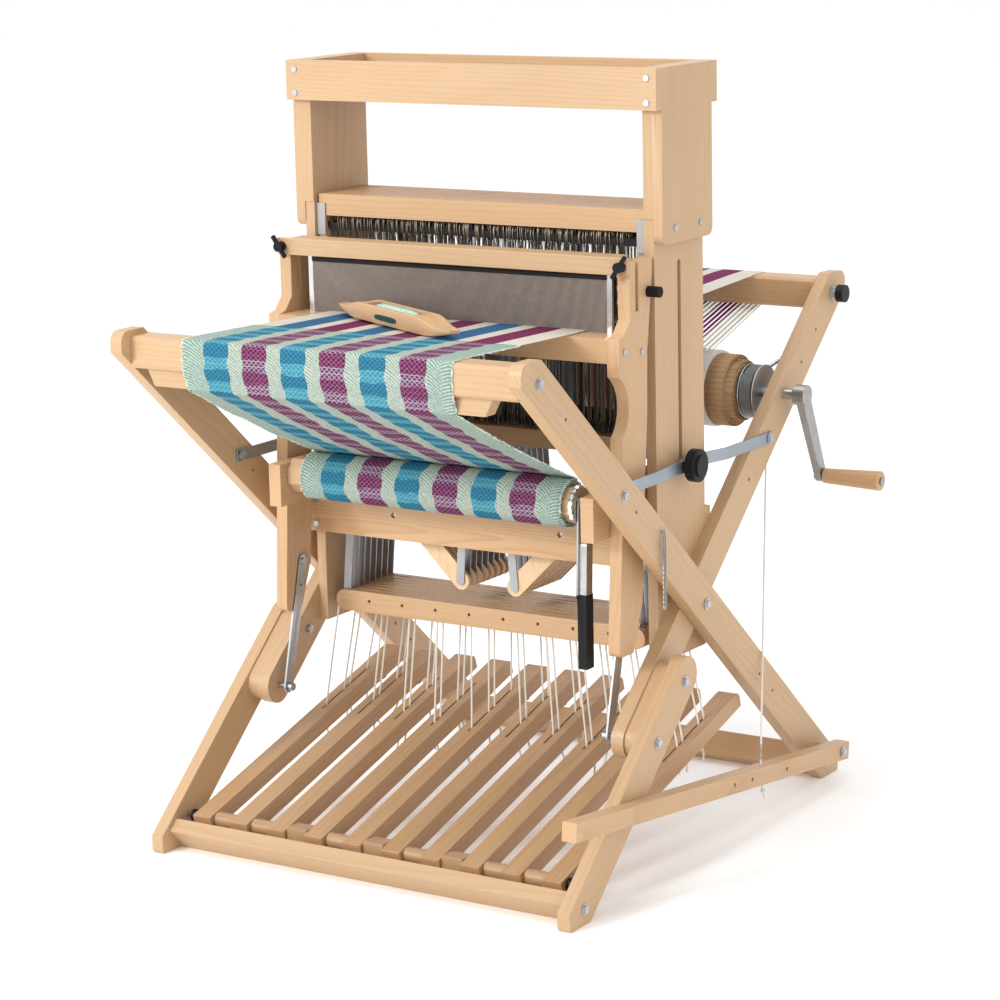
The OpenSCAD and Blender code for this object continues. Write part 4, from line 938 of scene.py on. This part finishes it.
def rollCloth(w):
    # a spiral: the radius grows evenly with the turn, by one layer each time round
    inner, outer = w["rollInner"], w["rollR"] - 0.0007
    turns = (outer - inner) / w["layer"]
    end = touchPoint(w["rollAt"], w["rollR"], w["knee"]) - np.array(w["rollAt"])
    last = math.atan2(end[1], end[0])
    inTurn = 56
    count, columns = int(turns * inTurn), 40
    turn = np.linspace(last + turns * wholeTurn, last, count)
    radius = np.linspace(inner, outer, count) + 0.00015 * np.sin(turn * 5)
    path = spread(w["rollAt"][0] + radius * np.cos(turn), w["rollAt"][1] + radius * np.sin(turn))
    u = np.linspace(0, 1, columns)
    x = w["left"] + (w["right"] - w["left"]) * u
    points = spread(x, path[:, :1], path[:, 1:])
    jitter = np.random.default_rng(5).normal(0, 0.0006, count)
    points[:, 0, 0] += jitter
    points[:, -1, 0] -= jitter
    v = runOf(path)
    length = float(v[-1])
    uv = spread(u * stripe["width"], v[:, None] - length)
    shape = (points.reshape(-1, 3), gridFaces(count, columns).tolist())
    piece = addPiece("cloth_on_beam", shape, cloth, "cloth_beam",
                     uv.reshape(-1, 2), outward=False)
    thicken(piece, 0.00115)
    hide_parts("cloth_roll")
    outside = path[-inTurn:]
    shape = together(loopsAlong(outside, 70, -1, 13), loopsAlong(outside, 70, 1, 14))
    addPiece("selvedge_on_beam", shape, fringe, "cloth_beam", sharp=80)


slope, middleZ, reach = weaveCloth(web)
rollCloth(web)

threads = {"spacing": 0.0014, "radius": 0.00040, "sides": 5, "steps": 6, "bunch": 0.0098, "bunching": 0.38,
           "draw": 0.12}
threadX = np.arange(web["left"] + 0.002, web["right"] - 0.001, threads["spacing"])
threadShaft = np.arange(len(threadX)) % 8


def threadPaths(which, profile):
    # the y and z profile of every thread that is picked, at the thread's own x
    return spread(threadX[which][:, None], profile[..., 0], profile[..., 1])


def threadPiece(name, which, paths):
    # threads as thin tubes; u keeps the place that each has in the cloth
    sides = threads["sides"]
    across = np.repeat(threadX[which] - web["left"], paths.shape[1] * sides)
    shape = tubes(paths, threads["radius"], sides, (1, 0, 0))
    return addPiece(name, shape, yarn, uv=spread(across, 0.0))


def drawnIn(paths, narrow):
    # the warp draws together towards the back beam: x shrinks by the given shares along the path
    paths[:, :, 0] *= np.asarray(narrow)
    return paths


def webLine(y):
    # the height of the stretched web at y
    return web["topZ"] + slope * (np.asarray(y) - web["front"])


def straight(startY, startZ, endY, endZ):
    # one straight side view for each thread
    y0, z0, y1, z1 = np.broadcast_arrays(startY, startZ, endY, endZ)
    steps = threads["steps"]
    return spread(np.linspace(y0, y1, steps, axis=1), np.linspace(z0, z1, steps, axis=1))


def layWarp(w, t):
    # from the fell to the eyes of each shaft, together again behind them, then over the back beam to the roll
    everyone = np.arange(len(threadX))
    ys = np.array([w["fell"] - 0.004, (w["fell"] + w["middle"]) / 2, w["middle"]])
    mid = threadPiece("warp_at_fell", everyone, threadPaths(everyone, spread(ys, webLine(ys))[None]))
    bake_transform(mid)
    riseZ = (w["topZ"] - w["eyeZ"]) / (w["rearTurn"] - w["shedY"])
    stopZ = w["eyeZ"] + riseZ * (w["rearMeet"] - w["shedY"])
    narrow = 1 - t["draw"] * np.linspace(0, 0.25, t["steps"])
    for group, first in (("odd", 0), ("even", 1)):
        which = everyone[threadShaft % 2 == first]
        eyeY = shaftY[threadShaft[which]]
        profile = straight(w["middle"], webLine(w["middle"]), eyeY, w["eyeZ"])
        piece = threadPiece("warp_front_" + group, which, threadPaths(which, profile))
        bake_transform(piece)
        profile = straight(eyeY, w["eyeZ"], w["rearMeet"], stopZ)
        piece = threadPiece("warp_rear_" + group, which, drawnIn(threadPaths(which, profile), narrow))
        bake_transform(piece)
    down = touchPoint(w["warpAt"], w["warpR"] + 0.0004, w["backEdge"])
    line = [(w["rearMeet"], stopZ), (w["rearTurn"], w["topZ"]), (0.4478, w["topZ"]), (0.4526, 0.7444),
            (0.4526, 0.7073), w["backEdge"], tuple(down)]
    profile = evenSteps(line, 0.006, 0.003)
    along = np.linspace(0, 1, len(profile))
    narrow = 1 - t["draw"] * np.interp(along, [0, 0.57, 0.68, 1], [0.25, 1.0, 1.0, 0.6])
    gather = np.clip((along - 0.55) / 0.25, 0, 1) * t["bunching"]
    half = len(everyone) // 2
    for group, which in (("left", everyone[:half]), ("right", everyone[half:])):
        paths = threadPaths(which, profile[None])
        middles = (np.floor(threadX[which] / t["bunch"]) + 0.5) * t["bunch"]
        paths[:, :, 0] += (middles - threadX[which])[:, None] * gather
        piece = threadPiece("warp_back_" + group, which, drawnIn(paths, narrow))
        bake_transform(piece)


layWarp(web, threads)
print("cloth and warp")


heddle = {"half": 0.243, "spares": 240, "radius": 0.00042, "middleZ": 0.7255, "eyeReach": 0.125}


def hangHeddles(h):
    # one wire per thread: two strands side by side that part at the eye and round each bar
    right = np.array([(0, 0, 0.8690), (0.0014, 0.0016, 0.8665), (0.0016, 0.0026, 0.8600),
                      (0.0008, 0.0026, 0.8520), (0.0004, 0.0008, 0.8440), (0.00045, 0, 0.8360),
                      (0.00045, 0, 0.7900), (0.00045, 0, 0.7480), (0.0014, 0, 0.7440), (0.0016, 0, 0.7400),
                      (0.0014, 0, 0.7360), (0.00045, 0, 0.7320), (0.00045, 0, 0.6700), (0.00045, 0, 0.6160),
                      (0.0004, 0.0008, 0.6070), (0.0003, 0.0024, 0.6010), (0.0003, 0.0026, 0.5960),
                      (0.0002, 0.0022, 0.5890), (0, 0, 0.5865)])
    left = right[-2:0:-1] * [-1, -1, 1]
    loop = np.concatenate([right, left])
    ends = np.abs(loop[:, 2] - h["middleZ"]) > h["eyeReach"]
    draw = np.random.default_rng(11)
    for group, first in (("odd", 0), ("even", 1)):
        which = np.arange(len(threadX))[threadShaft % 2 == first]
        x = np.r_[threadX[which], draw.uniform(-h["half"], h["half"], h["spares"])]
        shaftOf = np.r_[threadShaft[which], draw.integers(0, 4, h["spares"]) * 2 + first]
        paths = loop + spread(x, shaftY[shaftOf], 0.0)[:, None]
        paths[:, :, 2] += draw.uniform(-0.0012, 0.0034, (len(x), 1)) * ends
        paths[:, :, 0] += draw.normal(0, 0.0014, (len(x), 1)) * ends
        shape = tubes(paths, h["radius"], 3, (1, 0, 0), True)
        addPiece("heddles_" + group, shape, wire, "shafts_" + group, sharp=80)


hangHeddles(heddle)

reedShape = {"half": 0.2420, "pitch": 0.0017, "thick": 0.0008, "y": -0.115, "deep": 0.0038, "low": 0.7365,
             "high": 0.8175, "edgeHalf": 0.0052, "edgeDown": 0.0055, "edgeUp": 0.001}


def setReed(r):
    # upright dents as thin boxes side by side, and the dark edge that holds their tops
    x = np.arange(-r["half"] + r["pitch"] / 2, r["half"], r["pitch"])
    low = spread(x - r["thick"] / 2, r["y"] - r["deep"] / 2, r["low"])
    high = spread(x + r["thick"] / 2, r["y"] + r["deep"] / 2, r["high"])
    addPiece("reed_dents", boxes(low, high), dentSteel, "beater")
    edge = boxes([(-r["half"], r["y"] - r["edgeHalf"], r["high"] - r["edgeDown"])],
                 [(r["half"], r["y"] + r["edgeHalf"], r["high"] + r["edgeUp"])])
    addPiece("reed_upper_edge", edge, barBlack, "beater", bevel=0.0008)


setReed(reedShape)
print("heddles and reed")

# warp roll with its packing

packing = {"at": warpAxis, "outer": 0.0563, "inner": 0.0215, "sheet": 0.0050, "flute": board["flute"],
           "thick": 0.0007, "step": 0.013, "stepAt": 0.0445, "start": 0.9,
           "ends": ((-0.245, -0.2335), (0.2035, 0.245)), "wound": (-0.2325, 0.2030), "core": 0.0205}


def ribbon(p, turn, radius, ends):
    # a strip whose middle line is given by turn and radius;
    # on the right side its outer layers stop one step short of the inner ones
    far = np.where(radius > p["stepAt"], ends[1] - p["step"], ends[1]) if ends[0] > 0 else ends[1]
    x = spread(ends[0], far + 0.0012 * np.sin(turn * 1.3))
    line = spread(p["at"][0] + radius * np.cos(turn), p["at"][1] + radius * np.sin(turn))
    uv = spread(runOf(line)[:, None], x)
    points = spread(x, line[:, :1], line[:, 1:])
    return (points.reshape(-1, 3), gridFaces(len(turn), 2).tolist()), uv.reshape(-1, 2)


def packWarp(p):
    # two liners and the wavy flute between them, wound as one spiral
    turns = (p["outer"] - p["inner"]) / p["sheet"]
    for name, ends in zip(("left", "right"), p["ends"]):
        for layer, lift, wavy in (("liner", 0.0, False), ("cover", 0.74, False), ("flute", 0.37, True)):
            count = int(turns * (420 if wavy else 64))
            turn = np.linspace(p["start"], p["start"] + turns * wholeTurn, count)
            radius = np.linspace(p["inner"], p["outer"] - p["sheet"], count) + p["sheet"] * lift
            if wavy:
                run = np.r_[0, np.cumsum((radius[1:] + radius[:-1]) / 2 * np.diff(turn))]
                radius = radius + p["sheet"] * 0.33 * np.sin(run * wholeTurn / p["flute"])
            shape, uv = ribbon(p, turn, radius, ends)
            piece = addPiece("card_%s_%s" % (layer, name), shape, card, "warp_beam", uv,
                             outward=False)
            thicken(piece, p["thick"])
            abs(ends[1] - ends[0])


def windWarp(p):
    # a drum of wound warp, its surface a little uneven from side to side, its ends closed down to the beam
    sides = 96
    t = np.arange(sides) * wholeTurn / sides
    x = np.linspace(*p["wound"], 60)
    outer = p["outer"] - 0.0006 + 0.0004 * np.sin(x * 300) + 0.0003 * np.sin(x * 911)
    outer = np.r_[p["core"], outer[0] - 0.003, outer, outer[-1] - 0.003, p["core"]][:, None]
    x = np.r_[x[0], x[0], x, x[-1], x[-1]]
    points = spread(x[:, None], p["at"][0] + outer * np.cos(t), p["at"][1] + outer * np.sin(t))
    shape = (points.reshape(-1, 3), gridFaces(len(x), sides, True, True).tolist())
    piece = addPiece("wound_warp", shape, wound, "warp_beam")
    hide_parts("warp_roll")


packWarp(packing)
windWarp(packing)

drum = {"at": warpAxis, "radius": 0.0378, "from": 0.2526, "to": 0.2732, "turns": 8, "start": 2.2,
        "wire": 0.00125}


def windCable(d):
    # a screw line round the drum
    t = np.linspace(0, d["turns"] * wholeTurn, d["turns"] * 40)
    x = np.linspace(d["from"] + d["wire"], d["to"] - d["wire"], len(t))
    turn = t + d["start"]
    path = spread(x, d["at"][0] + d["radius"] * np.cos(turn), d["at"][1] + d["radius"] * np.sin(turn))
    addPiece("drum_cable", tubes(path[None], d["wire"], 8, (1, 0, 0)), cable, "back_leg_frame")


windCable(drum)

chain = {"x": 0.3312, "y": ballChain["y"], "top": 0.4735, "bottom": 0.3690, "apart": 0.0021, "pitch": 0.0034,
         "halfWide": 0.001488, "halfTall": 0.00276, "wire": 0.0006}


def hangChain(c):
    # small links, each a flat oval, turned a quarter from the one before
    t = np.linspace(0, wholeTurn, 12, endpoint=False)
    wide, tall = c["halfWide"] * np.cos(t), c["halfTall"] * np.sin(t)
    paths = []
    for y in (c["y"] - c["apart"], c["y"] + c["apart"]):
        for k, z in enumerate(np.arange(c["bottom"] + 0.003, c["top"], c["pitch"])):
            paths.append(spread(c["x"] + wide, y, z + tall) if k % 2 else spread(c["x"], y + wide, z + tall))
    shape = tubes(np.array(paths), c["wire"], 5, (0.61, 0.62, 0.05), True)
    addPiece("stop_chain", shape, castSteel, "front_leg_frame")


hangChain(chain)

treadleWire = {"side": 0.0035, "radius": 0.0016,
               "rod": ((0.272, -0.0100), (0.274, -0.0160), (0.30, -0.0165), (0.40, -0.0165), (0.448, -0.0165),
                       (0.450, -0.0100)),
               "clip": ((0.441, -0.0165), (0.447, -0.0165), (0.454, -0.0165)),
               "clipR": (0.0045, 0.0055, 0.0040)}


def treadleWires(w):
    # under each treadle a thin rod through the cord ends, held by a dark clip at its rear end
    c, d = math.cos(loom["treadleSlope"]), math.sin(loom["treadleSlope"])

    def onTreadle(x, line):
        # from distances along and above the treadle's middle line to its place
        along, over = np.array(line).T
        y = loom["treadleRodY"] + along * c - over * d
        z = loom["treadleRodZ"] + along * d + over * c
        return spread(x, y, z)[None]

    for i in range(1, 11):
        x = (i - 5.5) * loom["treadlePitch"] + w["side"]
        rod = tubes(onTreadle(x, w["rod"]), w["radius"], 8, (1, 0, 0))
        addPiece("treadle_wire_%d" % i, rod, zinc, "treadle_%d" % i)
        clip = tubes(onTreadle(x, w["clip"]), w["clipR"], 10, (1, 0, 0))
        addPiece("treadle_clip_%d" % i, clip, black, "treadle_%d" % i, bevel=0.0005)


treadleWires(treadleWire)

shuttle = {"at": (-0.0302, -0.2164), "along": (0.8839, -0.4678), "half": 0.163, "wide": 0.0195, "tall": 0.0260,
           "pocket": 0.44, "floor": 0.16, "bobbin": 0.0098, "bobbinZ": 0.0170, "bobbinHalf": 0.056,
           "wind": 0.0021, "slotHalf": 0.031, "slotZ": 0.0125, "slotTall": 0.0038, "slotDeep": 0.003}


def placeOnCloth(points, q):
    # from the shuttle's own length, width and height to its place across the web
    ax, ay = q["along"]
    x, y, z = points[..., 0], points[..., 1], points[..., 2]
    low = float(webLine(q["at"][1])) + web["thick"]
    return spread(q["at"][0] + x * ax - y * ay, q["at"][1] + x * ay + y * ax, low + z)


def shuttleHull(q):
    # cross-sections with a pocket in their top between the two pocket ends;
    # width and keel follow powers of the length
    edge = np.array([-1, 1]) * q["pocket"]
    along = np.sort(np.r_[np.linspace(-0.995, 0.995, 61), edge - 0.0015, edge + 0.0015])
    deep = np.abs(along) < q["pocket"]
    side = np.array([(0, 0), (0.55, 0), (0.86, 0.10), (0.99, 0.40), (1.0, 0.75), (0.96, 0.96), (0.90, 1.0),
                     (0.68, 1.0), (0.66, 0.98), (0.0, 0.98)])
    ring = np.concatenate([side, side[-2:0:-1] * [-1, 1]])
    inTop = (np.abs(ring[:, 0]) < 0.67) & (ring[:, 1] > 0.5)
    ramp = np.clip((np.abs(along) - 0.50) / 0.32, 0, 1)
    ramp = ramp * ramp * (3 - 2 * ramp)
    tip = np.clip((np.abs(along) - 0.55) / 0.45, 0, 1)
    width = q["wide"] * (1 - 0.62 * tip ** 1.6)
    keel = 0.0110 * tip ** 1.8
    crown = q["tall"] - 0.0095 * ramp - 0.0030 * tip ** 3
    share = np.where(inTop[None] & deep[:, None], q["floor"], ring[None, :, 1])
    height = keel[:, None] + np.maximum(crown - keel, 0.004)[:, None] * share
    points = spread(along[:, None] * q["half"], width[:, None] * ring[None, :, 0], height)
    rows, columns = height.shape
    faces = gridFaces(rows, columns, False, True).tolist()
    faces += [list(range(columns)), list(range((rows - 1) * columns, rows * columns))[::-1]]
    return placeOnCloth(points, q).reshape(-1, 3), faces


def layShuttle(q):
    # the hull, the bobbin as a turned profile between its two end caps, and the thread slot in the near side, a
    # thin dark patch of painted shade
    addPiece("boat_shuttle", shuttleHull(q), wood("warm", "x"), "castle", bevel=0.0006)
    half, height = q["bobbinHalf"], q["bobbinZ"]
    x = np.linspace(-half, half, 45)
    radius = q["bobbin"] * (1 - 0.25 * np.abs(x / half) ** 5) + 0.00025 * np.sin(x * wholeTurn / q["wind"])
    wraps = tubes(placeOnCloth(spread(x, 0.0, height)[None], q), radius[None], 20, (0, 0, 1))
    addPiece("bobbin_yarn", wraps, weft, "castle", sharp=80)
    cap = np.array([(-0.0648, 0.0030), (-0.0600, 0.0066), (-0.0590, 0.0072)])
    for k, profile in enumerate((cap, cap[::-1] * [-1, 1])):
        line = placeOnCloth(spread(profile[:, 0], 0.0, height)[None], q)
        shape = tubes(line, profile[None, :, 1], 20, (0, 0, 1))
        addPiece("bobbin_end_%d" % (k + 1), shape, whiteStrip, "castle", bevel=0.0004)
    # painted shade: the slot is a dark green patch just off the near side, the bobbin seen in shade
    t = np.linspace(0, wholeTurn, 24, endpoint=False)
    slot = spread(q["slotHalf"] * np.clip(1.15 * np.cos(t), -1, 1), -q["wide"] - 0.0009,
                  q["slotZ"] + q["slotTall"] * np.clip(1.2 * np.sin(t), -1, 1))
    walls = placeOnCloth(np.stack([slot, slot + [0, q["slotDeep"], 0]]), q)
    faces = gridFaces(2, 24, False, True).tolist() + [list(range(24)), list(range(24, 48))[::-1]]
    addPiece("shuttle_slot", (walls.reshape(-1, 3), faces), slotShade, "castle", bevel=0.0003)


layShuttle(shuttle)

guide = {"x": (0.2575, 0.2720), "y": (-0.0625, -0.0612), "z": (0.842, 0.8875)}


def guideStrips(g):
    # one thin upright strip on each side of the shafts
    (inner, outer), (front, back), (low, high) = g["x"], g["y"], g["z"]
    shape = boxes([(-outer, front, low), (inner, front, low)], [(-inner, back, high), (outer, back, high)])
    addPiece("guide_strips", shape, whiteStrip, "castle", bevel=0.0003)


guideStrips(guide)
print("roll, drum, chain and small parts")

# floor

half = 14
floor = bpy.data.meshes.new("floor")
floor.from_pydata([(-half, -half, 0), (half, -half, 0), (half, half, 0), (-half, half, 0)], [], [(0, 1, 2, 3)])
floor.materials.append(material("pale_floor", floorBuild))
ground = bpy.data.objects.new("floor", floor)
bpy.context.collection.objects.link(ground)
